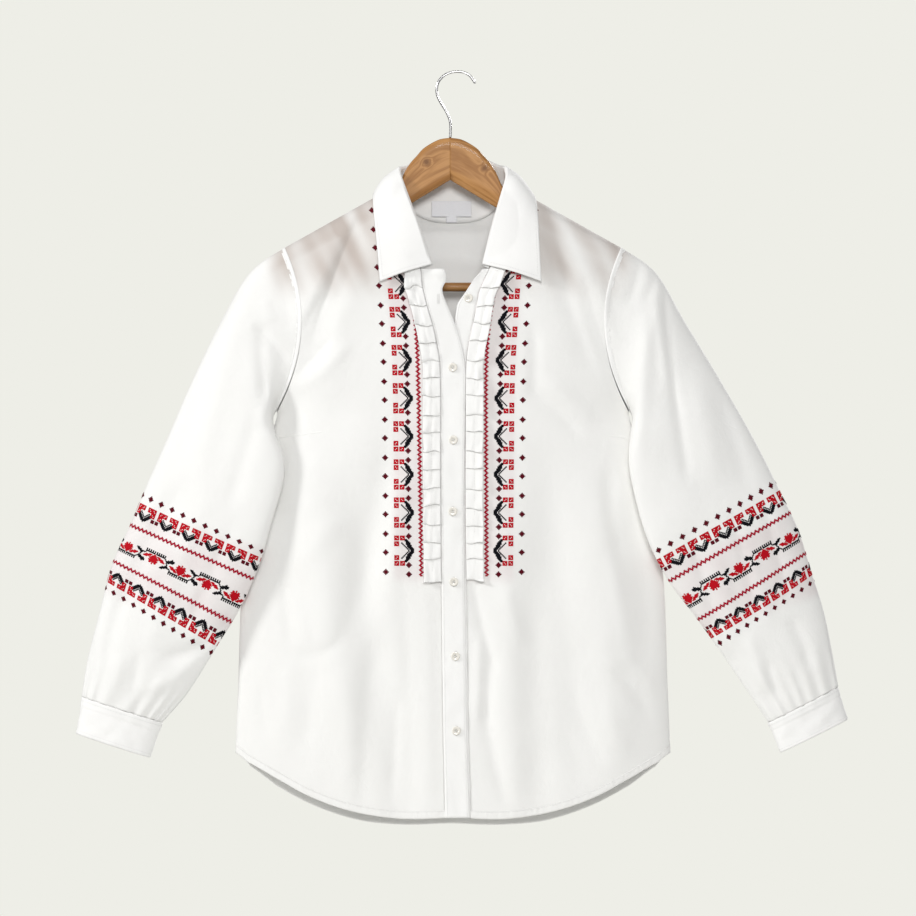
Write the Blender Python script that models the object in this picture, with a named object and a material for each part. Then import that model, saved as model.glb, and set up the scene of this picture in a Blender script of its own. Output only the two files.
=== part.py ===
"""Embroidered blouse on a wooden hanger.

Metres, +Z up, the front faces -Y.  The origin is the inside of the hook's bend,
where a nail or rail holds the hanger.  "right" and "left" are the wearer's, so
"right" lies at -X.  Panels are outer faces, thickened inward.
"""
import math

import bmesh
import bpy
from mathutils import Vector

CLOTH = 0.0012
SEAM = 0.0003
BLOUSE_X = -0.0052
HANGER_X = -0.0083
RIGHT, LEFT = -1, 1

COLOURS = {
    "white_cotton": ((0.90, 0.89, 0.87), 0.85, 0.0),
    "shell_button": ((0.88, 0.86, 0.82), 0.30, 0.0),
    "label_satin": ((0.93, 0.93, 0.94), 0.55, 0.0),
    "varnished_beech": ((0.56, 0.30, 0.11), 0.42, 0.0),
    "chromed_wire": ((0.70, 0.71, 0.72), 0.20, 1.0),
}

# Body: half width and depths of the flattened tube at each height.  Above the
# underarm the width is that of the chest ellipse that the armhole cuts.
UNDERARM_Z = -0.3873
BODY_COLUMNS = ("z", "width", "front", "back")
BODY = (
    (-0.090, 0.270, 0.034, 0.024),
    (-0.200, 0.262, 0.034, 0.024),
    (-0.250, 0.252, 0.035, 0.024),
    (-0.300, 0.237, 0.036, 0.024),
    (-0.350, 0.218, 0.036, 0.023),
    (-0.3873, 0.2024, 0.036, 0.022),
    (-0.420, 0.211, 0.036, 0.022),
    (-0.460, 0.221, 0.035, 0.022),
    (-0.520, 0.234, 0.033, 0.023),
    (-0.590, 0.243, 0.031, 0.025),
    (-0.705, 0.247, 0.030, 0.028),
    (-0.782, 0.250, 0.030, 0.030),
    (-0.870, 0.252, 0.030, 0.030),
)
FLATNESS = 2.4
RIDGE_ROLL, RIDGE_DEPTH, CHEST_DROP = 0.012, 0.0115, 0.090

# Shoulder seam from the neck point to the tip, both on the outer face.
NECK_POINT_X, NECK_POINT_Z = 0.0690, -0.1310
SHOULDER_TIP_X, SHOULDER_TIP_Z = 0.1932, -0.2005
UNDERARM_X = 0.2024
ARMHOLE_BOW = 0.0245
BACK_NECK_Z = -0.1717
FRONT_NECK_Z = -0.2263

# Rows of the fronts' grids, closer together toward the shoulder.  The row
# NECK_ROWS from the top starts at the corner of neckline and placket.
FRONT_ROWS, NECK_ROWS = 26, 8
BACK_SPREAD = 1.8
PLACKET_GAP = 0.0005

HEM_COLUMNS = ("x", "front", "back")
HEM = (
    (0.000, -0.8535, -0.8645),
    (0.055, -0.8552, -0.8660),
    (0.100, -0.8500, -0.8625),
    (0.135, -0.8410, -0.8535),
    (0.170, -0.8270, -0.8395),
    (0.205, -0.8080, -0.8200),
    (0.235, -0.7915, -0.7975),
    (0.252, -0.7800, -0.7800),
)

# Plackets: the two edges of each band, from the neckline down to the hem.  The
# rows above FRONT_NECK_Z carry the seam column on along the neckline.
PLACKET_COLUMNS = ("z", "seam", "free")
PLACKET_RIGHT = (
    (-0.1310, -0.0690, -0.0690),
    (-0.1500, -0.0648, -0.0500),
    (-0.1750, -0.0570, -0.0350),
    (-0.2000, -0.0475, -0.0200),
    (-0.2263, -0.0368, -0.0138),
    (-0.2505, -0.0333, -0.0138),
    (-0.2735, -0.0276, -0.0040),
    (-0.2930, -0.0219, 0.0040),
    (-0.3126, -0.0178, 0.0098),
    (-0.3298, -0.0149, 0.0136),
    (-0.3528, -0.0136, 0.0147),
    (-0.5035, -0.0132, 0.0129),
    (-0.6691, -0.0115, 0.0149),
    (-0.7542, -0.0103, 0.0161),
    (-0.8700, -0.0080, 0.0195),
)
PLACKET_LEFT = (
    (-0.1310, 0.0690, 0.0690),
    (-0.1500, 0.0655, 0.0500),
    (-0.1750, 0.0590, 0.0400),
    (-0.2000, 0.0510, 0.0350),
    (-0.2263, 0.0414, 0.0299),
    (-0.2378, 0.0357, 0.0241),
    (-0.2528, 0.0293, 0.0144),
    (-0.2666, 0.0265, 0.0052),
    (-0.2976, 0.0207, 0.0011),
    (-0.3149, 0.0168, -0.0011),
    (-0.3356, 0.0145, -0.0069),
    (-0.3528, 0.0141, -0.0098),
    (-0.5035, 0.0138, -0.0109),
    (-0.6691, 0.0161, -0.0092),
    (-0.7542, 0.0173, -0.0080),
    (-0.8700, 0.0205, -0.0052),
)

# Largest folds of the body: a soft ridge (+) or trough (-) along a leaning line.
FOLD_COLUMNS = ("face", "x_top", "z_top", "x_low", "z_low", "width", "height")
FOLDS = (
    ("front", -0.095, -0.165, -0.165, -0.330, 0.016, -0.0045),
    ("front", -0.135, -0.200, -0.150, -0.380, 0.022, 0.0030),
    ("front", 0.100, -0.170, 0.165, -0.330, 0.018, -0.0035),
    ("front", -0.175, -0.430, -0.120, -0.780, 0.028, 0.0045),
    ("front", -0.110, -0.480, -0.060, -0.850, 0.020, -0.0035),
    ("front", 0.110, -0.450, 0.130, -0.800, 0.026, -0.0040),
    ("front", 0.175, -0.500, 0.190, -0.790, 0.024, 0.0040),
    ("front", 0.060, -0.520, 0.070, -0.850, 0.022, 0.0030),
    ("back", -0.120, -0.300, -0.090, -0.850, 0.030, 0.0040),
    ("back", 0.050, -0.260, 0.030, -0.850, 0.026, -0.0035),
    ("back", 0.135, -0.350, 0.150, -0.820, 0.028, 0.0040),
)

# Sleeves: each row is a section.  outer and inner are the ends of its chord in
# the front view, y_* their depths; front and back are the half depths.
SLEEVE_COLUMNS = ("outer_x", "outer_z", "inner_x", "inner_z", "y_outer", "y_inner", "front", "back")
SLEEVE_RIGHT = (
    (0.1932, -0.2005, 0.2024, -0.3873, 0.000, 0.000, 0.026, 0.022),
    (0.2334, -0.2298, 0.2065, -0.3970, 0.000, -0.010, 0.025, 0.021),
    (0.2656, -0.2838, 0.2035, -0.4130, -0.001, -0.020, 0.023, 0.020),
    (0.2990, -0.3528, 0.1943, -0.4368, -0.003, -0.030, 0.021, 0.018),
    (0.3289, -0.4218, 0.1938, -0.4690, -0.005, -0.032, 0.020, 0.016),
    (0.3508, -0.4713, 0.2082, -0.5207, -0.006, -0.031, 0.020, 0.015),
    (0.3703, -0.5184, 0.2208, -0.5633, -0.006, -0.027, 0.020, 0.015),
    (0.3910, -0.5633, 0.2427, -0.6127, -0.006, -0.020, 0.020, 0.016),
    (0.4059, -0.6196, 0.2748, -0.6656, -0.006, -0.014, 0.019, 0.017),
    (0.4198, -0.6748, 0.3048, -0.7128, -0.005, -0.009, 0.018, 0.017),
    (0.4266, -0.7162, 0.3335, -0.7461, -0.004, -0.005, 0.015, 0.014),
)
SLEEVE_LEFT = (
    (0.1932, -0.2005, 0.2024, -0.3873, 0.000, 0.000, 0.026, 0.022),
    (0.2334, -0.2298, 0.2065, -0.3970, 0.000, -0.010, 0.025, 0.021),
    (0.2668, -0.2861, 0.2035, -0.4130, -0.001, -0.020, 0.023, 0.020),
    (0.3070, -0.3528, 0.2010, -0.4400, -0.003, -0.030, 0.021, 0.018),
    (0.3462, -0.4218, 0.2047, -0.4724, -0.005, -0.032, 0.020, 0.016),
    (0.3749, -0.4793, 0.2208, -0.5311, -0.006, -0.031, 0.020, 0.015),
    (0.3967, -0.5253, 0.2450, -0.5805, -0.006, -0.025, 0.020, 0.015),
    (0.4117, -0.5736, 0.2760, -0.6219, -0.006, -0.018, 0.020, 0.016),
    (0.4255, -0.6173, 0.3013, -0.6564, -0.006, -0.012, 0.019, 0.017),
    (0.4347, -0.6610, 0.3347, -0.7047, -0.005, -0.008, 0.018, 0.017),
    (0.4427, -0.7047, 0.3623, -0.7461, -0.004, -0.005, 0.015, 0.014),
)
GATHERS = 8
GATHER_DEPTH = 0.0016

# Cuffs: the chord at the wrist opening; the chord at the top is the sleeve's end.
CUFF_END = {
    RIGHT: (0.4335, -0.7588, 0.3484, -0.7864),
    LEFT: (0.4537, -0.7427, 0.3766, -0.7806),
}
CUFF_LAP = 0.10
CUFF_STEP = 0.0024

# Collar: stations from the centre back to the front end.  seam is the neckline,
# fold the top of the stand, edge the free edge of the leaf.
COLLAR_COLUMNS = ("fold_x", "fold_y", "fold_z", "edge_x", "edge_y", "edge_z")
COLLAR = (
    (0.0000, 0.0270, -0.0960, 0.0000, 0.0345, -0.1780),
    (0.0200, 0.0262, -0.0965, 0.0320, 0.0340, -0.1780),
    (0.0400, 0.0205, -0.1015, 0.0640, 0.0325, -0.1745),
    (0.0530, 0.0120, -0.1075, 0.0850, 0.0240, -0.1640),
    (0.0605, 0.0050, -0.1095, 0.0920, 0.0120, -0.1460),
    (0.0620, -0.0010, -0.1125, 0.0925, 0.0000, -0.1400),
    (0.0595, -0.0115, -0.1235, 0.0920, -0.0120, -0.1470),
    (0.0506, -0.0175, -0.1493, 0.0903, -0.0240, -0.1660),
    (0.0414, -0.0220, -0.1746, 0.0878, -0.0320, -0.1900),
    (0.0330, -0.0290, -0.1999, 0.0855, -0.0380, -0.2150),
    (0.0262, -0.0360, -0.2225, 0.0835, -0.0395, -0.2410),
)
SHOULDER_STATION = 5
# The left leaf lies further open: how far the front ends of its lines are moved out.
LEAF_SPREAD = {"fold": 0.0100, "edge": 0.0180}
# Shares of the collar's width at which the stand ends and the leaf begins.
COLLAR_ROWS, STAND_SHARE, ROLL_SHARE = 12, 3 / 12, 5 / 12
COLLAR_ROLL, COLLAR_LIFT, COLLAR_SEAM = 0.0030, 0.0026, 0.0016

RUFFLE_TOP, RUFFLE_END = -0.2335, -0.5790
RUFFLE_WIDTH = 0.0200
PLEATS = 17
PLEAT_RISE = 0.0036
RUFFLE_LIFT = 0.0018

BUTTON_RADIUS, BUTTON_THICK = 0.0050, 0.0020
BUTTON_COLUMNS = ("x", "z")
BUTTONS = (
    (0.0178, -0.2597),
    (0.0000, -0.3390),
    (0.0006, -0.4218),
    (0.0000, -0.5035),
    (0.0011, -0.5840),
    (0.0029, -0.6691),
    (0.0040, -0.7542),
)
CUFF_BUTTON_RADIUS = 0.0048

LABEL_WIDTH, LABEL_TOP, LABEL_LOW = 0.0460, -0.1459, -0.1640
LABEL_X = -0.0017
TAB_WIDTH, TAB_LOW = 0.0120, -0.1708
LABEL_THICK = 0.0010

# Hanger arm: top and lower edge at each distance from the middle; bevel is the
# height of the lower front facet that shows on the wearer's left arm.
ARM_COLUMNS = ("x", "top", "low", "bevel")
ARM = (
    (0.0002, -0.0745, -0.1228, 0.010),
    (0.0138, -0.0768, -0.1311, 0.011),
    (0.0299, -0.0860, -0.1407, 0.012),
    (0.0385, -0.0952, -0.1459, 0.013),
    (0.0466, -0.1044, -0.1508, 0.014),
    (0.0530, -0.1150, -0.1546, 0.015),
    (0.0600, -0.1300, -0.1588, 0.015),
    (0.0700, -0.1385, -0.1650, 0.013),
    (0.1000, -0.1537, -0.1820, 0.010),
    (0.1500, -0.1807, -0.2120, 0.008),
    (0.1860, -0.2012, -0.2330, 0.006),
    (0.1910, -0.2042, -0.2520, 0.006),
    (0.2100, -0.2190, -0.2520, 0.006),
    (0.2180, -0.2290, -0.2480, 0.005),
)
ARM_HALF_DEPTH = 0.0062
BAR_Z, BAR_RADIUS, BAR_HALF = -0.2460, 0.0052, 0.1881

WIRE_RADIUS = 0.0015
HOOK_COLUMNS = ("x", "z")
HOOK = (
    (-0.0083, -0.0742),
    (-0.0080, -0.0607),
    (-0.0092, -0.0527),
    (-0.0132, -0.0435),
    (-0.0190, -0.0343),
    (-0.0232, -0.0251),
    (-0.0238, -0.0170),
    (-0.0213, -0.0090),
    (-0.0150, -0.0023),
    (-0.0076, 0.0009),
    (0.0000, 0.0018),
    (0.0080, 0.0007),
    (0.0150, -0.0037),
    (0.0206, -0.0118),
)


def mix(a, b, t):
    return a + (b - a) * t


def ease(t):
    t = min(max(t, 0.0), 1.0)
    return t * t * (3.0 - 2.0 * t)


def spline(values, t):
    """Catmull-Rom through equally spaced values, t counted in intervals."""
    last = len(values) - 1
    i = min(max(int(t), 0), last - 1)
    f = t - i
    p0, p1 = values[max(i - 1, 0)], values[i]
    p2, p3 = values[i + 1], values[min(i + 2, last)]
    return 0.5 * (2 * p1 + (p2 - p0) * f + (2 * p0 - 5 * p1 + 4 * p2 - p3) * f * f
                  + (3 * p1 - p0 - 3 * p2 + p3) * f ** 3)


def column(table, names, name):
    return [row[names.index(name)] for row in table]


def along(table, names, name, t):
    return spline(column(table, names, name), t)


def at(table, names, key, name):
    """Value of a column at a key between the rows, by smooth interpolation."""
    keys = column(table, names, names[0])
    if keys[-1] < keys[0]:
        key, keys = -key, [-k for k in keys]
    i = 0
    while i < len(keys) - 2 and key > keys[i + 1]:
        i += 1
    f = (key - keys[i]) / (keys[i + 1] - keys[i])
    return along(table, names, name, i + min(max(f, 0.0), 1.0))


def shoulder_z(x):
    """Height of the shoulder line over x, carried on past the neck point."""
    slope = (SHOULDER_TIP_Z - NECK_POINT_Z) / (SHOULDER_TIP_X - NECK_POINT_X)
    return NECK_POINT_Z + slope * (abs(x) - NECK_POINT_X)


def fold(face, x, z):
    """Sum of the body's folds at a point of one face."""
    total = 0.0
    for row in FOLDS:
        place = dict(zip(FOLD_COLUMNS, row))
        t = (z - place["z_top"]) / (place["z_low"] - place["z_top"])
        if place["face"] != face or not -0.15 < t < 1.15:
            continue
        offset = (x - mix(place["x_top"], place["x_low"], t)) / place["width"]
        fade = ease((t + 0.15) / 0.3) * ease((1.15 - t) / 0.15)
        total += place["height"] * fade * math.exp(-offset * offset)
    return total


def body_y(face, x, z):
    """Depth of the front or back outer face at a point of the front view."""
    width = at(BODY, BODY_COLUMNS, z, "width")
    across = max(1.0 - min(abs(x) / width, 1.0) ** FLATNESS, 0.0) ** 0.5
    under = max(shoulder_z(x) - z, 0.0)
    ridge = RIDGE_DEPTH * math.sqrt(1.0 - (1.0 - min(under / RIDGE_ROLL, 1.0)) ** 2)
    chest = 1.0 - (1.0 - min(under / CHEST_DROP, 1.0)) ** 2
    depth = at(BODY, BODY_COLUMNS, z, face) + fold(face, x, z) - RIDGE_DEPTH
    sign = -1 if face == "front" else 1
    return sign * ((ridge + depth * chest) * across + SEAM / 2)


def side_x(z):
    """Edge of a panel: the armhole seam above the underarm, the side seam below."""
    if z < UNDERARM_Z:
        return at(BODY, BODY_COLUMNS, z, "width")
    t = (z - SHOULDER_TIP_Z) / (UNDERARM_Z - SHOULDER_TIP_Z)
    return mix(SHOULDER_TIP_X, UNDERARM_X, t) - ARMHOLE_BOW * 4.0 * t * (1.0 - t)


def material(name):
    colour, roughness, metallic = COLOURS[name]
    made = bpy.data.materials.new(name)
    made.use_nodes = True
    shader = made.node_tree.nodes["Principled BSDF"]
    shader.inputs["Base Color"].default_value = (*colour, 1.0)
    shader.inputs["Roughness"].default_value = roughness
    shader.inputs["Metallic"].default_value = metallic
    return made


def finish(mesh, name, slot, shift_x, smooth=True):
    """Turn a bmesh into a named object of the part, moved to its centre line."""
    bmesh.ops.translate(mesh, verts=mesh.verts, vec=(shift_x, 0, 0))
    data = bpy.data.meshes.new(name)
    mesh.to_mesh(data)
    mesh.free()
    piece = bpy.data.objects.new(name, data)
    part.objects.link(piece)
    data.materials.append(material(slot))
    for face in data.polygons:
        face.use_smooth = smooth
    return piece


def sheet(name, slot, cells_u, cells_v, point, thick=CLOTH, flip=False, tube=False, face=None):
    """Grid of cells mapped by point(u, v), closed into a wall on its inner side.

    A panel of the "front" or "back" face keeps its wall on its own side of the seams.
    """
    mesh = bmesh.new()
    bmesh.ops.create_grid(mesh, x_segments=cells_u, y_segments=cells_v, size=0.5)
    for vert in mesh.verts:
        vert.co = point(vert.co.x + 0.5, vert.co.y + 0.5)
    if tube:
        bmesh.ops.remove_doubles(mesh, verts=mesh.verts, dist=0.00001)
    if flip:
        bmesh.ops.reverse_faces(mesh, faces=mesh.faces)
    mesh.normal_update()
    outward = mesh.verts.layers.float_vector.new("outward")
    for vert in mesh.verts:
        vert[outward] = vert.normal
    walled = bmesh.ops.extrude_face_region(mesh, geom=mesh.faces[:], use_keep_orig=True)
    for vert in walled["geom"]:
        if isinstance(vert, bmesh.types.BMVert):
            vert.co -= thick * Vector(vert[outward])
    for vert in mesh.verts:
        if face == "front":
            vert.co.y = min(vert.co.y, -SEAM / 2)
        if face == "back":
            vert.co.y = max(vert.co.y, SEAM / 2)
    bmesh.ops.recalc_face_normals(mesh, faces=mesh.faces)
    return finish(mesh, name, slot, BLOUSE_X)


def front_drop(v):
    """Share of the way from the neck point to the hem at a row of the fronts."""
    neck = (FRONT_NECK_Z - NECK_POINT_Z) / (HEM[0][1] - NECK_POINT_Z)
    return v ** (math.log(neck) / math.log(NECK_ROWS / FRONT_ROWS))


def build_front(name, side, placket):
    """One front: rows from its neckline and placket seam to its armhole and side seam."""
    cells = 15

    def point(u, v):
        share = math.sin(0.5 * math.pi * u ** 1.1)
        drop = front_drop(v)
        z_inner = mix(NECK_POINT_Z, HEM[0][1], drop)
        z_side = mix(SHOULDER_TIP_Z, HEM[-1][1], drop)
        inner = side * at(placket, PLACKET_COLUMNS, z_inner, "seam") + PLACKET_GAP
        x = mix(inner, side_x(z_side), share)
        z = mix(z_inner, z_side, share)
        hem_line = mix(HEM[0][1], HEM[-1][1], share)
        z += (at(HEM, HEM_COLUMNS, x, "front") - hem_line) * drop ** 2
        return Vector((side * x, body_y("front", side * x, z), z))

    return sheet(name, "white_cotton", cells, FRONT_ROWS, point, flip=side == LEFT, face="front")


def build_back():
    """The back: one panel from side to side, with the back neckline."""
    neck_cells, half, rows = 6, 13, 22

    def point(u, v):
        k = abs(u - 0.5) * 2 * half
        side = -1 if u < 0.5 else 1
        neck = NECK_POINT_X / SHOULDER_TIP_X
        if k <= neck_cells:
            share = neck * math.sin(0.5 * math.pi * k / neck_cells)
        else:
            share = mix(neck, 1.0, math.sin(0.5 * math.pi * (k - neck_cells) / (half - neck_cells)))
        x_top = share * SHOULDER_TIP_X
        if x_top < NECK_POINT_X:
            z_top = mix(BACK_NECK_Z, NECK_POINT_Z, (x_top / NECK_POINT_X) ** 3)
        else:
            z_top = shoulder_z(x_top)
        drop = v ** BACK_SPREAD
        z_edge = mix(SHOULDER_TIP_Z, HEM[-1][2], drop)
        z = mix(z_top, at(HEM, HEM_COLUMNS, share * HEM[-1][0], "back"), drop)
        x = side * share * side_x(z_edge)
        return Vector((x, body_y("back", x, z), z))

    return sheet("back", "white_cotton", 2 * half, rows, point, face="back")


def sleeve_point(side, table, turn, t, gathers=GATHER_DEPTH):
    """Outer face of a sleeve at an angle of a section; turn 0 is the outer fold."""
    row = {name: along(table, SLEEVE_COLUMNS, name, t) for name in SLEEVE_COLUMNS}
    c = 0.5 * (1.0 - math.cos(turn))
    bow = ARMHOLE_BOW * max(1.0 - t / 3.0, 0.0) ** 2
    x = mix(row["outer_x"], row["inner_x"], c) - bow * math.sin(turn) ** 2
    z = mix(row["outer_z"], row["inner_z"], c)
    face, sign = ("front", -1) if math.sin(turn) >= 0 else ("back", 1)
    gather = ease(t - 9.0) * gathers * math.sin(2 * GATHERS * turn)
    depth = row[face] * abs(math.sin(turn)) ** 0.85 + gather * abs(math.sin(turn))
    y = mix(row["y_outer"], row["y_inner"], c ** 1.5) + sign * depth
    at_body = max(1.0 - t / 1.4, 0.0) ** 1.5
    y = mix(y, body_y(face, side * x, z), at_body)
    return Vector((side * (x + 0.0006 * (1.0 - min(t, 1.0))), y, z))


def build_sleeve(name, side, table):
    stations = len(table) - 1

    def point(u, v):
        return sleeve_point(side, table, 2 * math.pi * (u % 1.0), v * stations)

    return sheet(name, "white_cotton", 28, 16, point, flip=side == RIGHT, tube=True)


def cuff_point(side, table, turn, v):
    """A cuff: from the sleeve's end to the wrist, winding outward where it laps."""
    end = sleeve_point(side, table, turn, len(table) - 1, gathers=0.0)
    outer_x, outer_z, inner_x, inner_z = CUFF_END[side]
    c = 0.5 * (1.0 - math.cos(turn))
    wrist = Vector((side * mix(outer_x, inner_x, c), 0.0, mix(outer_z, inner_z, c)))
    wrist.y = mix(-0.004, -0.005, c ** 1.5) - 0.0145 * math.copysign(abs(math.sin(turn)) ** 0.85, math.sin(turn))
    first = end + (wrist - end).normalized() * 0.0006
    return first.lerp(wrist, v)


def build_cuff(name, side, table):
    """A band lapped at its hidden back, over its button side."""
    start = 1.45 * math.pi
    sweep = 2 * math.pi * (1.0 + CUFF_LAP)

    def point(u, v):
        turn = start + sweep * u
        here = cuff_point(side, table, turn, v)
        middle = 0.5 * (cuff_point(side, table, 0.0, v) + cuff_point(side, table, math.pi, v))
        out = (here - middle) * Vector((0.35, 1.0, 0.35))
        return here + out.normalized() * CUFF_STEP * (u - 0.5)

    return sheet(name, "white_cotton", 30, 3, point, flip=side == RIGHT)


def neck_seam(t, placket):
    """Neckline at a collar station, 0 at the centre back, on the body's face."""
    if t <= SHOULDER_STATION:
        x = NECK_POINT_X * math.sin(0.5 * math.pi * t / SHOULDER_STATION)
        z = mix(BACK_NECK_Z, NECK_POINT_Z, (x / NECK_POINT_X) ** 3)
        return Vector((x, body_y("back", x, z), z))
    way = (t - SHOULDER_STATION) / (len(COLLAR) - 1 - SHOULDER_STATION)
    z = mix(NECK_POINT_Z, FRONT_NECK_Z, way)
    x = abs(at(placket, PLACKET_COLUMNS, z, "seam"))
    return Vector((x, body_y("front", x, z), z))


def clear_of_body(place, lift):
    """Move a point out until it lies lift away from the body's front or back."""
    if place.z > shoulder_z(place.x) + lift:
        return place
    face, sign = ("front", -1) if place.y < 0 else ("back", 1)
    reach = abs(body_y(face, place.x, min(place.z, shoulder_z(place.x)))) + lift
    place.y = sign * max(abs(place.y), reach)
    return place


def collar_line(side, line, t):
    """Point of one side's fold or edge line at a collar station."""
    place = Vector([along(COLLAR, COLLAR_COLUMNS, f"{line}_{axis}", t) for axis in "xyz"])
    if side == LEFT:
        toward_front = max((t - SHOULDER_STATION) / (len(COLLAR) - 1 - SHOULDER_STATION), 0.0)
        place.x += LEAF_SPREAD[line] * toward_front
    return place


def collar_point(u, v):
    """Collar from the neck seam up the stand, over the roll and down the leaf."""
    side = -1 if u < 0.5 else 1
    t = abs(u - 0.5) * 2 * (len(COLLAR) - 1)
    fold_line = collar_line(side, "fold", t)
    edge = collar_line(side, "edge", t)
    seam = neck_seam(t, PLACKET_RIGHT if side == RIGHT else PLACKET_LEFT)
    ahead, behind = min(t + 0.2, len(COLLAR) - 1), max(t - 0.2, 0.0)
    run = collar_line(side, "fold", ahead) - collar_line(side, "fold", behind)
    away = (fold_line - seam).normalized() + (fold_line - edge).normalized()
    out = away.cross(run).normalized()
    away.normalize()
    inner = fold_line - out * COLLAR_ROLL
    outer = fold_line + out * COLLAR_ROLL
    seam += (inner - seam).normalized() * COLLAR_SEAM
    if v <= STAND_SHARE:
        here = seam.lerp(inner, v / STAND_SHARE)
    elif v < ROLL_SHARE:
        turn = math.pi * (v - STAND_SHARE) / (ROLL_SHARE - STAND_SHARE)
        here = fold_line + COLLAR_ROLL * (away * math.sin(turn) - out * math.cos(turn))
    else:
        w = (v - ROLL_SHARE) / (1.0 - ROLL_SHARE)
        here = outer.lerp(edge, w)
        here += (out + away * 0.4) * 0.004 * math.sin(math.pi * w)
        here = clear_of_body(here, COLLAR_LIFT + 0.002 * math.sin(math.pi * w))
    return Vector((side * here.x, here.y, here.z))


def build_collar():
    return sheet("collar", "white_cotton", 40, COLLAR_ROWS, collar_point)


def build_placket(name, table, lift):
    """A band between its two edges, lifted off the front's outer face."""

    def point(u, v):
        row = (NECK_ROWS + v * (FRONT_ROWS - NECK_ROWS)) / FRONT_ROWS
        z = mix(NECK_POINT_Z, HEM[0][1], front_drop(row))
        x = mix(at(table, PLACKET_COLUMNS, z, "seam"), at(table, PLACKET_COLUMNS, z, "free"), u)
        return Vector((x, body_y("front", x, z) - lift, z))

    return sheet(name, "white_cotton", 3, FRONT_ROWS - NECK_ROWS, point,
                 flip=table is PLACKET_RIGHT)


def build_ruffle(name, side, table):
    """Knife pleats as a sawtooth: each pleat stands out further toward its fold."""
    steps = 3

    def point(u, v):
        pleat, step = divmod(round(v * PLEATS * steps), steps)
        share = (0.0, 0.50, 0.92)[step]
        z = mix(RUFFLE_TOP, RUFFLE_END, (pleat + share) / PLEATS)
        rise = PLEAT_RISE * (0.0, 0.60, 1.0)[step]
        seam = at(table, PLACKET_COLUMNS, z, "seam") + side * 0.0008
        x = seam + side * RUFFLE_WIDTH * u
        return Vector((x, body_y("front", x, z) - RUFFLE_LIFT - rise * (0.35 + 0.65 * u), z))

    return sheet(name, "white_cotton", 2, PLEATS * steps, point, thick=0.001, flip=side == LEFT)


def build_button(name, x, y, z, radius, facing=-1):
    """A four-hole shell button as a rimmed disc, its face along -Y or +Y."""
    mesh = bmesh.new()
    bmesh.ops.create_cone(mesh, cap_ends=True, segments=16, radius1=radius, radius2=radius, depth=BUTTON_THICK)
    front = [face for face in mesh.faces if face.normal.z > 0.9]
    bmesh.ops.inset_region(mesh, faces=front, thickness=0.0011, depth=0.0)
    bmesh.ops.inset_region(mesh, faces=front, thickness=0.0004, depth=-0.0005)
    for vert in mesh.verts:
        across, up, out = vert.co
        vert.co = (x + across, y + facing * out, z + up)
    if facing > 0:
        bmesh.ops.reverse_faces(mesh, faces=mesh.faces)
    return finish(mesh, name, "shell_button", BLOUSE_X, smooth=False)


def stand_point(x, z):
    """Inner face of the collar's stand behind the neck, at a point of the front view."""
    stations = len(COLLAR) - 1
    low, high = 0.0, 4.0
    for _ in range(24):
        t = 0.5 * (low + high)
        here = collar_point(0.5 + 0.5 * t / stations, 0.5 * STAND_SHARE)
        low, high = (t, high) if here.x < abs(x) else (low, t)
    bottom = collar_point(0.5 + 0.5 * low / stations, 0.0)
    top = collar_point(0.5 + 0.5 * low / stations, STAND_SHARE)
    return mix(bottom.y, top.y, (z - bottom.z) / (top.z - bottom.z))


def build_label(name, width, top, low, lift):
    """A bare satin label that follows the stand."""

    def point(u, v):
        x = LABEL_X + width * (u - 0.5)
        z = mix(top, low, v)
        return Vector((x, stand_point(x, z) - lift, z))

    return sheet(name, "label_satin", 6, 3, point, thick=LABEL_THICK)


def build_arm(name, side):
    """Half of the hanger's wood: sections along the arm, mitred in the middle."""
    mesh = bmesh.new()
    stations = len(ARM) - 1
    ring = 12
    bmesh.ops.create_grid(mesh, x_segments=ring, y_segments=2 * stations, size=0.5)
    for vert in mesh.verts:
        k = round((vert.co.x + 0.5) * ring) % ring
        t = (vert.co.y + 0.5) * stations
        row = {label: along(ARM, ARM_COLUMNS, label, t) for label in ARM_COLUMNS}
        turn = 2 * math.pi * (k + 0.5) / ring
        wide = math.copysign(min(abs(math.sin(turn)) * 1.35, 1.0), math.sin(turn))
        tall = math.copysign(min(abs(math.cos(turn)) * 1.03, 1.0), math.cos(turn))
        z = mix(row["low"], row["top"], 0.5 + 0.5 * tall)
        y = ARM_HALF_DEPTH * wide
        if side == LEFT and y < 0 and tall < 0:
            bevel = row["low"] + row["bevel"]
            y *= 1.0 - 0.45 * max(bevel - z, 0.0) / row["bevel"]
        vert.co = (side * row["x"], y, z)
    bmesh.ops.remove_doubles(mesh, verts=mesh.verts, dist=0.00001)
    rims = [edge for edge in mesh.edges if edge.is_boundary]
    bmesh.ops.holes_fill(mesh, edges=rims, sides=0)
    bmesh.ops.recalc_face_normals(mesh, faces=mesh.faces)
    return finish(mesh, name, "varnished_beech", HANGER_X)


def build_bar():
    mesh = bmesh.new()
    bmesh.ops.create_cone(mesh, cap_ends=True, segments=16, radius1=BAR_RADIUS, radius2=BAR_RADIUS,
                          depth=2 * BAR_HALF)
    for vert in mesh.verts:
        vert.co = (vert.co.z, vert.co.x, BAR_Z + vert.co.y)
    bmesh.ops.recalc_face_normals(mesh, faces=mesh.faces)
    return finish(mesh, "hanger_bar", "varnished_beech", HANGER_X)


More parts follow.
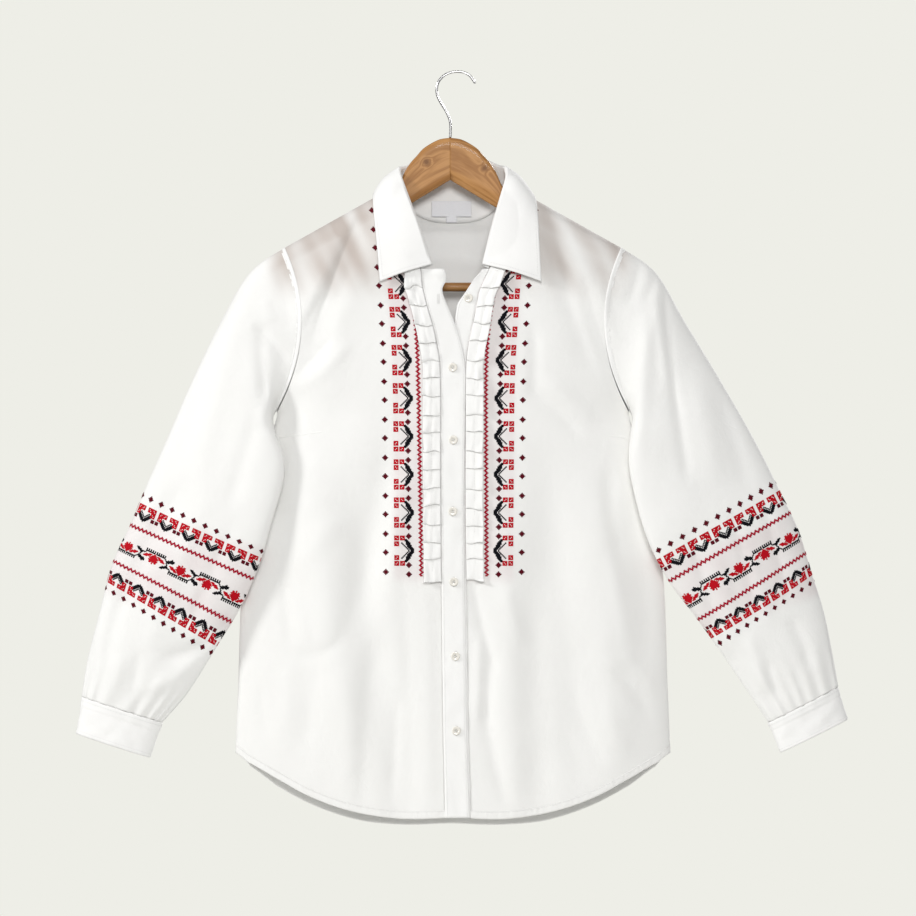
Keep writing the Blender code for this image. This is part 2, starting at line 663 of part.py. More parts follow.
def build_hook():
    """Chromed wire bent to a hook, round in section."""
    wire = bpy.data.curves.new("hanger_hook", "CURVE")
    wire.dimensions = "3D"
    wire.bevel_depth = WIRE_RADIUS
    wire.bevel_resolution = 1
    wire.use_fill_caps = True
    bends = 2 * (len(HOOK) - 1)
    route = wire.splines.new("POLY")
    route.points.add(bends)
    for i, spot in enumerate(route.points):
        x = along(HOOK, HOOK_COLUMNS, "x", i / 2)
        z = along(HOOK, HOOK_COLUMNS, "z", i / 2)
        spot.co = (x, 0.0, z, 1.0)
    bent = bpy.data.objects.new("hook_route", wire)
    data = bpy.data.meshes.new_from_object(bent)
    mesh = bmesh.new()
    mesh.from_mesh(data)
    bmesh.ops.remove_doubles(mesh, verts=mesh.verts, dist=0.00001)
    bmesh.ops.recalc_face_normals(mesh, faces=mesh.faces)
    bpy.data.objects.remove(bent)
    bpy.data.meshes.remove(data)
    bpy.data.curves.remove(wire)
    return finish(mesh, "hanger_hook", "chromed_wire", 0.0)


for old in list(bpy.data.objects):
    bpy.data.objects.remove(old, do_unlink=True)

part = bpy.data.collections.new("embroidered_blouse")
bpy.context.scene.collection.children.link(part)

build_back()
build_front("front_right", RIGHT, PLACKET_RIGHT)
build_front("front_left", LEFT, PLACKET_LEFT)
build_placket("placket_left", PLACKET_LEFT, 0.0)
build_placket("placket_right", PLACKET_RIGHT, CLOTH + 0.0004)
build_ruffle("ruffle_right", RIGHT, PLACKET_RIGHT)
build_ruffle("ruffle_left", LEFT, PLACKET_LEFT)
build_collar()
for label, wearer_side, sections in (("right", RIGHT, SLEEVE_RIGHT), ("left", LEFT, SLEEVE_LEFT)):
    build_sleeve("sleeve_" + label, wearer_side, sections)
    build_cuff("cuff_" + label, wearer_side, sections)
    spot = cuff_point(wearer_side, sections, 1.52 * math.pi, 0.5)
    build_button("cuff_button_" + label, spot.x, spot.y + 0.0030, spot.z, CUFF_BUTTON_RADIUS, facing=1)
for number, (button_x, button_z) in enumerate(BUTTONS, 1):
    seat = 0.0004 if number == 1 else CLOTH + 0.0008
    face_y = body_y("front", button_x, button_z) - seat - BUTTON_THICK / 2
    build_button(f"button_{number}", button_x, face_y, button_z, BUTTON_RADIUS)
build_label("neck_label", LABEL_WIDTH, LABEL_TOP, LABEL_LOW, 0.0004)
build_label("size_tab", TAB_WIDTH, LABEL_LOW - SEAM, TAB_LOW, 0.0004)
build_arm("hanger_arm_right", RIGHT)
build_arm("hanger_arm_left", LEFT)
build_bar()
build_hook()
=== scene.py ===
import math

import bmesh
import bpy
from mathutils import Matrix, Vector, noise


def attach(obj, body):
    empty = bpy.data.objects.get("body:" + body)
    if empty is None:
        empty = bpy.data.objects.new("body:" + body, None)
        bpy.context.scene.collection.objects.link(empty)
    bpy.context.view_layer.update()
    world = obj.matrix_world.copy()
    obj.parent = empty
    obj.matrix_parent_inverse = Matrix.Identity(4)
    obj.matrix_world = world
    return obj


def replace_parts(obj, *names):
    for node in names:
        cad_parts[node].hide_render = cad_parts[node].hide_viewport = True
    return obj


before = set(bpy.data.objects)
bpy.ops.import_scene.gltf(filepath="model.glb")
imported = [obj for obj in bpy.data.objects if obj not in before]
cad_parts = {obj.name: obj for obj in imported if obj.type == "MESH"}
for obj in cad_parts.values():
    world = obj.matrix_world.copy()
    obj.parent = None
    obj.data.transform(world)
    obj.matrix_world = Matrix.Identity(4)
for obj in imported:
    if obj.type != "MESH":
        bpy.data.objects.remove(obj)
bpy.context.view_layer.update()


# The studio: the blouse hangs before a plain pale ground and is seen straight on from
# chest height.  One small soft light stands on the viewer's left, a wider one in front
# and a third behind, over a plain pale floor.
VIEW_WIDTH, LENS = 1.0534, 180.0
VIEW_CENTRE = Vector((0.0006, 0.0, -0.4425))
GROUND = (0.855, 0.855, 0.799, 1.0)
ROOM_LIGHT = 0.36
FLOOR_RADIUS, FLOOR_Z = 1.6, -1.45

scene = bpy.context.scene
scene.view_settings.view_transform = "Standard"

camera = bpy.data.objects.new("front_view", bpy.data.cameras.new("front_view"))
camera.data.lens = LENS
distance = VIEW_WIDTH * LENS / camera.data.sensor_width
camera.location = VIEW_CENTRE - Vector((0.0, distance, 0.0))
camera.rotation_euler = (0.5 * math.pi, 0.0, 0.0)
scene.collection.objects.link(camera)
scene.camera = camera


def soft_light(name, place, size, power):
    lamp = bpy.data.objects.new(name, bpy.data.lights.new(name, "AREA"))
    lamp.data.shape = "DISK"
    lamp.data.size = size
    lamp.data.energy = power
    lamp.location = place
    lamp.rotation_euler = (VIEW_CENTRE - Vector(place)).to_track_quat("-Z", "Y").to_euler()
    scene.collection.objects.link(lamp)


soft_light("light_left", (-3.2, -1.35, 1.1), 0.7, 66.0)
soft_light("light_front", (0.2, -3.7, 1.0), 1.2, 77.0)
soft_light("light_behind", (1.8, 2.8, 0.9), 1.4, 105.0)


def add_node(tree, kind, inputs=None, **settings):
    """Add a node, set its options, and set or link each of the inputs."""
    made = tree.nodes.new(kind)
    for name, value in settings.items():
        setattr(made, name, value)
    for name, value in (inputs or {}).items():
        if isinstance(value, bpy.types.NodeSocket):
            tree.links.new(value, made.inputs[name])
        else:
            made.inputs[name].default_value = value
    return made


def plain_world():
    world = bpy.data.worlds.new("pale_ground")
    world.use_nodes = True
    tree = world.node_tree
    tree.nodes.clear()
    seen = add_node(tree, "ShaderNodeBackground", {"Color": GROUND, "Strength": 1.0})
    lighting = add_node(tree, "ShaderNodeBackground", {"Color": (1.0, 1.0, 1.0, 1.0), "Strength": ROOM_LIGHT})
    path = add_node(tree, "ShaderNodeLightPath")
    both = add_node(tree, "ShaderNodeMixShader", {
        0: path.outputs["Is Camera Ray"], 1: lighting.outputs[0], 2: seen.outputs[0]})
    add_node(tree, "ShaderNodeOutputWorld", {"Surface": both.outputs[0]})
    scene.world = world


plain_world()


def principled(name):
    """A new material with its node tree and its shader."""
    look = bpy.data.materials.new(name)
    look.use_nodes = True
    return look, look.node_tree, look.node_tree.nodes["Principled BSDF"]


def build_floor():
    mesh = bmesh.new()
    bmesh.ops.create_circle(mesh, cap_ends=True, segments=64, radius=FLOOR_RADIUS)
    bmesh.ops.translate(mesh, verts=mesh.verts, vec=(0.0, 0.0, FLOOR_Z))
    floor = bpy.data.objects.new("floor", bpy.data.meshes.new("floor"))
    mesh.to_mesh(floor.data)
    mesh.free()
    scene.collection.objects.link(floor)
    look, _, shader = principled("pale_floor")
    shader.inputs["Base Color"].default_value = (0.78, 0.78, 0.75, 1.0)
    shader.inputs["Roughness"].default_value = 0.9
    floor.data.materials.append(look)


build_floor()


# The back: one panel of thin white cotton cloth, cut with a shallow neckline and a
# shirt-tail hem, hanging from the shoulder seams.  It is a thin shell, with the long
# soft drapes and the creases at the armholes laid over the shape of the solid.
BLOUSE_X, HANGER_X = -0.0052, -0.0083
RIGHT, LEFT = -1, 1
SIDES = (("right", RIGHT), ("left", LEFT))
SHELL, STRIP, HEM_PLY = 0.0005, 0.0003, 0.0002
MM = 0.001


def mix(a, b, t):
    return a + (b - a) * t


def ease(t):
    t = min(max(t, 0.0), 1.0)
    return t * t * (3.0 - 2.0 * t)


def wobble(*place):
    """Smooth unevenness at a place, between -1 and 1."""
    return noise.noise(Vector(place))


def table(names, *rows):
    """The columns of a short table, by name."""
    return {name: [row[i] for row in rows] for i, name in enumerate(names.split())}


def along(values, t):
    """A smooth curve through equally spaced values, t counted in intervals."""
    last = len(values) - 1
    i = min(max(int(t), 0), last - 1)
    f = t - i
    p0, p1 = values[max(i - 1, 0)], values[i]
    p2, p3 = values[i + 1], values[min(i + 2, last)]
    return 0.5 * (2 * p1 + (p2 - p0) * f + (2 * p0 - 5 * p1 + 4 * p2 - p3) * f * f
                  + (3 * p1 - p0 - 3 * p2 + p3) * f ** 3)


def at(rows, key, name):
    """Value of a column where the first column reaches a key."""
    keys = rows[next(iter(rows))]
    passed = sum(k > key for k in keys) if keys[0] > keys[-1] else sum(k < key for k in keys)
    i = min(max(passed - 1, 0), len(keys) - 2)
    f = (key - keys[i]) / (keys[i + 1] - keys[i])
    return along(rows[name], i + min(max(f, 0.0), 1.0))


UNDERARM_X, UNDERARM_Z = 0.2024, -0.3873
NECK_POINT_X, NECK_POINT_Z = 0.0690, -0.1310
SHOULDER_TIP_X, SHOULDER_TIP_Z = 0.1932, -0.2005
BACK_NECK_Z, FRONT_NECK_Z = -0.1717, -0.2263
ARMHOLE_BOW = 0.0245
FLATNESS = 2.4
RIDGE_ROLL, RIDGE_DEPTH, CHEST_DROP = 0.012, 0.0115, 0.090
BODY = table(
    "z width front back",
    (-0.090, 0.270, 0.034, 0.024),
    (-0.200, 0.262, 0.034, 0.024),
    (-0.250, 0.252, 0.035, 0.024),
    (-0.300, 0.237, 0.036, 0.024),
    (-0.350, 0.218, 0.036, 0.023),
    (-0.3873, 0.2024, 0.036, 0.022),
    (-0.420, 0.211, 0.036, 0.022),
    (-0.460, 0.221, 0.035, 0.022),
    (-0.520, 0.234, 0.033, 0.023),
    (-0.590, 0.243, 0.031, 0.025),
    (-0.705, 0.247, 0.030, 0.028),
    (-0.782, 0.250, 0.030, 0.030),
    (-0.870, 0.252, 0.030, 0.030),
)
HEM = table(
    "x front back",
    (0.000, -0.8535, -0.8645),
    (0.055, -0.8552, -0.8660),
    (0.100, -0.8500, -0.8625),
    (0.135, -0.8410, -0.8535),
    (0.170, -0.8270, -0.8395),
    (0.205, -0.8080, -0.8200),
    (0.235, -0.7915, -0.7975),
    (0.252, -0.7800, -0.7800),
)
# Creases in mm: the ends of each line, how far its middle bows aside, its half width,
# its height, a trough if negative, and a sharpness, 2 for soft and less for a fold.
BACK_CREASES = [
    (-120, -300, -90, -850, 0, 30, 4.0, 2),
    (50, -260, 30, -850, 0, 26, -3.5, 2),
    (135, -350, 150, -820, 0, 28, 4.0, 2),
    (-150, -215, -178, -330, 3, 10, -2.0, 1.8),
    (-120, -190, -150, -320, 2, 12, 1.6, 2),
    (150, -215, 180, -335, -3, 10, -2.0, 1.8),
    (118, -185, 150, -310, -2, 12, 1.5, 2),
    (-175, -350, -138, -430, 3, 8, -1.6, 1.7),
    (-168, -372, -128, -462, 3, 9, 1.3, 2),
    (176, -352, 138, -436, -3, 8, -1.6, 1.7),
    (-85, -520, -95, -850, -3, 14, -2.2, 2),
    (-30, -420, -22, -850, 3, 20, 1.8, 2),
    (20, -560, 28, -850, 0, 12, -1.8, 2),
    (70, -480, 80, -850, -4, 18, 2.0, 2),
    (115, -560, 112, -840, 3, 13, -2.0, 2),
    (165, -470, 180, -800, 0, 16, 1.8, 2),
    (-190, -520, -195, -780, 0, 14, -1.8, 2),
    (-150, -600, -162, -800, 0, 12, 1.4, 2),
    (-45, -215, 45, -222, -5, 9, -1.1, 2),
    (-205, -470, -170, -560, 4, 11, -1.5, 1.8),
    (206, -480, 172, -570, -4, 11, -1.5, 1.8),
    (190, -600, 176, -700, 0, 10, -1.3, 1.8),
]
FRONT_CREASES = [
    (-95, -165, -165, -330, 0, 16, -4.5, 2),
    (-135, -200, -150, -380, 0, 22, 3.0, 2),
    (100, -170, 165, -330, 0, 18, -3.5, 2),
    (-175, -430, -120, -780, 0, 28, 4.5, 2),
    (-110, -480, -60, -850, 0, 20, -3.5, 2),
    (110, -450, 130, -800, 0, 26, -4.0, 2),
    (175, -500, 190, -790, 0, 24, 4.0, 2),
    (60, -520, 70, -850, 0, 22, 3.0, 2),
    (-103, -155, -155, -286, 2, 6, -2.6, 1.3),
    (-116, -149, -171, -284, 2, 10, 2.2, 2),
    (-87, -163, -137, -295, 0, 12, 1.6, 2),
    (-139, -146, -179, -229, -3, 9, -1.8, 2),
    (-178, -346, -140, -305, 2, 6, -1.6, 1.6),
    (-176, -362, -121, -314, 3, 8, 1.5, 2),
    (-170, -295, -151, -256, 0, 6, -1.2, 1.6),
    (-183, -382, -204, -514, 7, 13, -3.0, 2),
    (-151, -456, -139, -652, 0, 30, 2.6, 2),
    (-75, -428, -123, -652, -5, 17, -2.6, 2),
    (-56, -468, -86, -652, 0, 15, 1.6, 2),
    (-195, -589, -186, -652, 0, 7, -1.7, 1.7),
    (-179, -592, -169, -652, 0, 7, 1.6, 2),
    (-178, -670, -128, -652, 5, 8, -1.6, 2),
    (-93, -663, -105, -836, 0, 12, -1.7, 2),
    (-124, -675, -116, -836, 0, 15, 1.4, 2),
    (-155, -675, -170, -773, 0, 12, -1.4, 2),
    (-187, -675, -194, -769, 0, 12, 1.4, 2),
    (-55, -606, -47, -824, 0, 9, -1.2, 2),
    (-30, -606, -26, -824, 0, 9, 0.9, 2),
    (-63, -721, -69, -824, 0, 6, -1.2, 1.7),
    (-220, -709, -213, -755, 3, 7, -1.3, 2),
    (-130, -514, -176, -571, 5, 14, 1.4, 2),
    (109, -149, 120, -232, 2, 8, -2.0, 2),
    (137, -244, 169, -341, 2, 7, 1.2, 2),
    (152, -241, 183, -336, 2, 6, -1.1, 1.7),
    (169, -247, 191, -313, 2, 6, 1.0, 2),
    (123, -183, 169, -217, 5, 10, -1.2, 2),
    (92, -295, 92, -370, -2, 8, -1.5, 2),
    (93, -367, 143, -415, -2, 9, -2.2, 1.7),
    (110, -357, 160, -399, -2, 10, 1.6, 2),
    (179, -459, 197, -562, 5, 10, -2.6, 2),
    (200, -514, 227, -663, -5, 12, -2.4, 2),
    (182, -560, 204, -666, 0, 10, 1.9, 2),
    (185, -686, 225, -735, -3, 8, -2.0, 1.7),
    (194, -667, 233, -709, -3, 8, 1.6, 2),
    (24, -589, 45, -675, 1, 6, -2.4, 1.5),
    (45, -669, 39, -742, 1, 8, -2.2, 1.8),
    (39, -735, 61, -836, 2, 9, -2.4, 1.8),
    (30, -652, 28, -744, 0, 6, 1.6, 2),
    (89, -606, 95, -836, 0, 20, -1.8, 2),
    (115, -606, 124, -824, 0, 17, 1.8, 2),
    (160, -537, 146, -652, 0, 22, 1.3, 2),
    (139, -709, 171, -792, 3, 9, -1.2, 2),
    (174, -721, 201, -781, 3, 9, 1.0, 2),
    (60, -594, 77, -652, 0, 9, 1.1, 2),
]
# All heights above are raised by this, to show under the soft light.
CREASE_DEPTH = 1.35


def prepared(creases):
    """Creases in metres, with the direction and length of each line worked out."""
    ready = []
    for x, z, x_end, z_end, bow, width, height, sharp in creases:
        run = Vector((x_end - x, z_end - z)) * MM
        ready.append((x * MM, z * MM, run.normalized(), run.length, bow * MM, width * MM,
                      height * MM * CREASE_DEPTH, sharp))
    return ready


def crease(creases, x, z):
    """How far the creases lift the cloth at a point of the front view."""
    total = 0.0
    for x_start, z_start, way, length, bow, width, height, sharp in creases:
        dx, dz = x - x_start, z - z_start
        t = (dx * way.x + dz * way.y) / length
        if not -0.2 < t < 1.2:
            continue
        aside = abs(dx * way.y - dz * way.x - bow * 4.0 * t * (1.0 - t)) / width
        if aside < 3.0:
            total += height * ease((t + 0.2) / 0.4) * ease((1.2 - t) / 0.4) * math.exp(-aside ** sharp)
    return total


CREASES = {"front": prepared(FRONT_CREASES), "back": prepared(BACK_CREASES)}


def shoulder_z(x):
    """Height of the shoulder line over x, carried on past the neck point."""
    slope = (SHOULDER_TIP_Z - NECK_POINT_Z) / (SHOULDER_TIP_X - NECK_POINT_X)
    return NECK_POINT_Z + slope * (abs(x) - NECK_POINT_X)


def body_y(face, x, z):
    """Depth of the front's or back's cloth at a point of the front view."""
    across = max(1.0 - min(abs(x) / at(BODY, z, "width"), 1.0) ** FLATNESS, 0.0) ** 0.5
    under = max(shoulder_z(x) - z, 0.0)
    ridge = RIDGE_DEPTH * math.sqrt(1.0 - (1.0 - min(under / RIDGE_ROLL, 1.0)) ** 2)
    chest = 1.0 - (1.0 - min(under / CHEST_DROP, 1.0)) ** 2
    depth = at(BODY, z, face) + crease(CREASES[face], x, z) - RIDGE_DEPTH
    depth += 0.0012 * wobble(x * 22.0, z * 15.0, 3.0 if face == "front" else 8.0)
    return (-1 if face == "front" else 1) * (ridge + depth * chest) * across


def side_x(z):
    """Edge of a panel: the armhole seam above the underarm, the side seam below."""
    if z < UNDERARM_Z:
        return at(BODY, z, "width")
    t = (z - SHOULDER_TIP_Z) / (UNDERARM_Z - SHOULDER_TIP_Z)
    return mix(SHOULDER_TIP_X, UNDERARM_X, t) - ARMHOLE_BOW * 4.0 * t * (1.0 - t)


# The painted shade of the hanger: where its wood and the shade under its arms lie behind the cloth, the
# cloth's colour is darkened. Its half length, a point and the slope of its upper edge, its bar and the lower
# end of the shade under the arms, as x and z.
WOOD_REACH, WOOD_X, WOOD_TOP, WOOD_SLOPE = 0.216, 0.053, -0.1150, 0.52
WOOD_BAR_Z, WOOD_SHADE_Z = -0.2460, -0.2700
BAR_SHOWS, SHADE_SHOWS, RIGHT_SHADE_GAIN = 0.30, 0.75, 1.5


def painted_shade_of_hanger(place):
    """Painted shade: how dark the hanger's wood and the shade under its arms show through the cloth in front
    of them.
    """
    x, z = abs(place.x - HANGER_X + BLOUSE_X), place.z
    inside = ease((WOOD_REACH - x) / 0.030) * ease((0.002 - place.y) / 0.006)
    top = WOOD_TOP - WOOD_SLOPE * (x - WOOD_X)
    arm = ease((top + 0.004 - z) / 0.006) * ease((z - top + 0.060) / 0.034)
    bar = math.exp(-((z - WOOD_BAR_Z) / 0.0055) ** 2)
    shade = ease((top - z) / 0.010) * ease((z - WOOD_SHADE_Z) / 0.050)
    streaks = 0.80 + 0.95 * wobble(place.x * 50.0 + place.z * 22.0, place.z * 12.0, 9.0)
    # The painted shade is made darker on the wearer's right.
    pressed = RIGHT_SHADE_GAIN if place.x < 0 else 1.0
    return inside * pressed * max(arm, BAR_SHOWS * bar, SHADE_SHOWS * shade) * max(streaks, 0.0)


def new_group(name, inputs, outputs):
    """A shader node group with named sockets, and its input and output nodes."""
    group = bpy.data.node_groups.new(name, "ShaderNodeTree")
    for label, kind, value in inputs:
        group.interface.new_socket(label, in_out="INPUT", socket_type=kind).default_value = value
    for label, kind in outputs:
        group.interface.new_socket(label, in_out="OUTPUT", socket_type=kind)
    return group, group.nodes.new("NodeGroupInput"), group.nodes.new("NodeGroupOutput")


def maths(tree, operation, first, second=0.0):
    return add_node(tree, "ShaderNodeMath", {0: first, 1: second}, operation=operation).outputs[0]


def blend(tree, share, first, second):
    """A colour between two, each given as three numbers or as a socket."""
    first, second = ((*end, 1) if isinstance(end, tuple) else end for end in (first, second))
    made = add_node(tree, "ShaderNodeMix", {0: share, 6: first, 7: second}, data_type="RGBA")
    return made.outputs[2]


def spread(tree, value, low, high, start=0.0, end=1.0):
    """A value from start to end, carried over to low to high."""
    return add_node(tree, "ShaderNodeMapRange", {0: value, 1: start, 2: end, 3: low, 4: high}).outputs[0]


def bump(tree, strength, distance, height):
    return add_node(tree, "ShaderNodeBump", {
        "Strength": strength, "Distance": distance, "Height": height}).outputs[0]


def noisy(tree, place, scale, detail=2.0, **more):
    return add_node(tree, "ShaderNodeTexNoise", {
        "Vector": place, "Scale": scale, "Detail": detail, **more}).outputs["Fac"]


def dress(tree, shader, colour, rough, normal):
    """Give a shader its colour, roughness and normal."""
    for name, socket in (("Base Color", colour), ("Roughness", rough), ("Normal", normal)):
        tree.links.new(socket, shader.inputs[name])


def plain_weave_group():
    """Height of a plain weave over a map in metres, threads counted per metre."""
    group, given, result = new_group(
        "plain_weave",
        [("Map", "NodeSocketVector", (0.0, 0.0, 0.0)), ("Threads", "NodeSocketFloat", 1500.0)],
        [("Height", "NodeSocketFloat")])
    place = add_node(group, "ShaderNodeSeparateXYZ", {0: given.outputs["Map"]})
    slubs = noisy(group, given.outputs["Map"], 160.0)
    waves = []
    for axis in (0, 1):
        count = maths(group, "MULTIPLY", place.outputs[axis], given.outputs["Threads"])
        count = maths(group, "ADD", count, slubs)
        waves.append(maths(group, "SINE", maths(group, "MULTIPLY", count, math.pi)))
    height = maths(group, "MULTIPLY", waves[0], waves[1])
    group.links.new(height, result.inputs["Height"])
    return group


def crumple_group():
    """Height of fine soft creases left in ironed cotton."""
    group, given, result = new_group(
        "cotton_crumple",
        [("Place", "NodeSocketVector", (0.0, 0.0, 0.0)), ("Scale", "NodeSocketFloat", 40.0)],
        [("Height", "NodeSocketFloat")])
    bent = noisy(group, given.outputs["Place"], given.outputs["Scale"], 3.0, Roughness=0.45, Distortion=0.8)
    ridge = maths(group, "ABSOLUTE", maths(group, "SUBTRACT", bent, 0.5))
    fine = noisy(group, given.outputs["Place"], 130.0)
    height = maths(group, "ADD", ridge, maths(group, "MULTIPLY", fine, 0.25))
    group.links.new(height, result.inputs["Height"])
    return group


PLAIN_WEAVE, COTTON_CRUMPLE = plain_weave_group(), crumple_group()


def cotton(name, white, shade, crumple, glow=0.0):
    """White cotton cloth: its weave, soft creases, the painted shade of the hanger behind it and the tint of
    the floss behind it.
    """
    look, tree, shader = principled(name)
    place = add_node(tree, "ShaderNodeTexCoord")
    patches = noisy(tree, place.outputs["Object"], 14.0, 3.0)
    weave = add_node(tree, "ShaderNodeGroup", node_tree=PLAIN_WEAVE)
    tree.links.new(place.outputs["UV"], weave.inputs["Map"])
    weave.inputs["Threads"].default_value = THREADS
    soft = add_node(tree, "ShaderNodeGroup", node_tree=COTTON_CRUMPLE)
    tree.links.new(place.outputs["Object"], soft.inputs["Place"])
    colour = blend(tree, patches, white, shade)
    # The first mark is painted shade of the hanger, the second the tint of the floss behind the bands.
    for attribute, tint, share in SHADE_AND_SHOW_THROUGH:
        mark = add_node(tree, "ShaderNodeAttribute", attribute_name=attribute)
        colour = blend(tree, maths(tree, "MULTIPLY", mark.outputs["Fac"], share), colour, tint)
    rough = spread(tree, weave.outputs["Height"], 0.92, 0.80, -1.0, 1.0)
    shader.inputs["Specular IOR Level"].default_value = 0.25
    shader.inputs["Sheen Weight"].default_value = 0.12
    shader.inputs["Subsurface Weight"].default_value = glow
    shader.inputs["Subsurface Radius"].default_value = (1.0, 0.97, 0.92)
    shader.inputs["Subsurface Scale"].default_value = 0.003
    woven = add_node(tree, "ShaderNodeBump", {
        "Strength": 0.35, "Distance": 0.00012, "Height": weave.outputs["Height"],
        "Normal": bump(tree, crumple, 0.0022, soft.outputs["Height"])})
    dress(tree, shader, colour, rough, woven.outputs[0])
    return look


# Colours mixed into the cloth: painted shade over the hanger's wood and the shade under its arms, and the
# floss carried behind the bands showing through, each with the most of it that shows.
SHADE_AND_SHOW_THROUGH = (("painted_hanger_shade", (0.52, 0.46, 0.42), 0.72), ("thread_tint", (0.64, 0.50, 0.51), 0.36))
THREADS = 1500.0
SINGLE = ((0.87, 0.865, 0.845), (0.83, 0.825, 0.80), 0.30)
COTTON = cotton("white_cotton_cloth", *SINGLE)
LIT_THROUGH = cotton("thin_cotton_cloth", *SINGLE, glow=0.25)


WELD = 0.00001


def finish_mesh(mesh, name, looks, shift=BLOUSE_X):
    """A named piece from a bmesh, moved to its centre line and riding on the blouse."""
    bmesh.ops.translate(mesh, verts=mesh.verts, vec=(shift, 0.0, 0.0))
    for face in mesh.faces:
        face.smooth = True
    piece = bpy.data.objects.new(name, bpy.data.meshes.new(name))
    mesh.to_mesh(piece.data)
    mesh.free()
    for look in looks:
        piece.data.materials.append(look)
    scene.collection.objects.link(piece)
    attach(piece, "root")
    return piece


def cloth(name, cells, point, cut, flip=False, wrap=False, thick=SHELL, look=COTTON,
          haze=lambda place, v: 0.0):
    """A thin shell of cloth: a grid mapped by point(u, v), with its cut as the map."""
    mesh = bmesh.new()
    bmesh.ops.create_grid(mesh, x_segments=cells[0], y_segments=cells[1], size=0.5)
    cut_map = mesh.loops.layers.uv.new("cut")
    painted_shade = mesh.verts.layers.float.new("painted_hanger_shade")
    stained = mesh.verts.layers.float.new("thread_tint")
    for face in mesh.faces:
        for loop in face.loops:
            loop[cut_map].uv = ((loop.vert.co.x + 0.5) * cut[0], (loop.vert.co.y + 0.5) * cut[1])
    for vert in mesh.verts:
        u, v = vert.co.x + 0.5, vert.co.y + 0.5
        vert.co = point(u, v)
        # Painted shade of the hanger behind the cloth, on the plain cotton only.
        vert[painted_shade] = painted_shade_of_hanger(vert.co) if look is COTTON else 0.0
        vert[stained] = haze(vert.co, v)
    if wrap:
        bmesh.ops.remove_doubles(mesh, verts=mesh.verts, dist=WELD)
    if flip:
        bmesh.ops.reverse_faces(mesh, faces=mesh.faces)
    piece = finish_mesh(mesh, name, [look])
    wall = piece.modifiers.new("wall", "SOLIDIFY")
    wall.thickness = thick
    wall.offset = -1.0
    return piece


def back_point(u, v):
    neck_share, neck = 26 / 60, NECK_POINT_X / SHOULDER_TIP_X
    k = abs(u - 0.5) * 2
    side = -1 if u < 0.5 else 1
    if k <= neck_share:
        share = neck * math.sin(0.5 * math.pi * k / neck_share)
    else:
        share = mix(neck, 1.0, math.sin(0.5 * math.pi * (k - neck_share) / (1.0 - neck_share)))
    x_top = share * SHOULDER_TIP_X
    if x_top < NECK_POINT_X:
        z_top = mix(BACK_NECK_Z, NECK_POINT_Z, (x_top / NECK_POINT_X) ** 3)
    else:
        z_top = shoulder_z(x_top)
    drop = v ** 1.5
    z = mix(z_top, at(HEM, share * HEM["x"][-1], "back"), drop)
    x = side * share * side_x(mix(SHOULDER_TIP_Z, HEM["back"][-1], drop))
    return Vector((x, body_y("back", x, z), z))


# The turned hem: its width, the shares of its map where it turns, and its gap.
HEM_WIDTH, HEM_TURN, HEM_GAP = 0.0080, (0.42, 0.58), 0.00085


def hem_fold(point):
    """A narrow turned hem round the lower edge of a panel, puckered by its stitching."""
    def folded(u, v):
        place = point(u, 1.0)
        above = point(u, 0.985)
        up = (above - place).normalized()
        out = Vector((0.0, -1.0 if place.y < 0 else 1.0, 0.0))
        first, last = HEM_TURN
        turn = min(max((v - first) / 0.16, 0.0), 1.0)
        rise = HEM_WIDTH * (1.0 - v / first if v < first else (v - last) / first if v > last else 0.0)
        face = math.cos(math.pi * turn)
        pucker = 0.00045 * wobble(place.x * 330.0, rise * 120.0, 1.0) * min(rise / 0.003, 1.0)
        return (place + up * (rise + 0.0004 - 0.0009 * math.sin(math.pi * turn))
                + out * (HEM_GAP * face - 0.0003 + pucker))
    return folded


back = cloth("back_panel", (120, 170), back_point, (0.52, 0.74), look=LIT_THROUGH)
back_hem = cloth("back_hem", (400, 10), hem_fold(back_point), (0.52, 0.016), thick=HEM_PLY)
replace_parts(back, "back")


# The two fronts: each one panel of the same cotton from its neckline and button band to
# the armhole and side seam, with a small bust dart from the side seam.  The wearer's
# left front is pushed into deeper folds beside the band, the right one at the shoulder.
FRONT_ROWS, NECK_ROWS = 26, 8
PLACKETS = {
    RIGHT: table(
        "z seam free",
        (-0.1310, -0.0690, -0.0690),
        (-0.1500, -0.0648, -0.0500),
        (-0.1750, -0.0570, -0.0350),
        (-0.2000, -0.0475, -0.0200),
        (-0.2263, -0.0368, -0.0100),
        (-0.2380, -0.0352, -0.0072),
        (-0.2505, -0.0333, -0.0120),
        (-0.2735, -0.0276, -0.0040),
        (-0.2930, -0.0219, 0.0040),
        (-0.3126, -0.0178, 0.0098),
        (-0.3298, -0.0149, 0.0136),
        (-0.3528, -0.0136, 0.0147),
        (-0.5035, -0.0132, 0.0129),
        (-0.6691, -0.0115, 0.0149),
        (-0.7542, -0.0103, 0.0161),
        (-0.8700, -0.0080, 0.0195),
    ),
    LEFT: table(
        "z seam free",
        (-0.1310, 0.0690, 0.0690),
        (-0.1500, 0.0655, 0.0500),
        (-0.1750, 0.0590, 0.0400),
        (-0.2000, 0.0510, 0.0350),
        (-0.2263, 0.0414, 0.0335),
        (-0.2378, 0.0357, 0.0241),
        (-0.2528, 0.0293, 0.0144),
        (-0.2666, 0.0265, 0.0052),
        (-0.2976, 0.0207, 0.0011),
        (-0.3149, 0.0168, -0.0011),
        (-0.3356, 0.0145, -0.0069),
        (-0.3528, 0.0141, -0.0098),
        (-0.5035, 0.0138, -0.0109),
        (-0.6691, 0.0161, -0.0092),
        (-0.7542, 0.0173, -0.0080),
        (-0.8700, 0.0205, -0.0052),
    ),
}


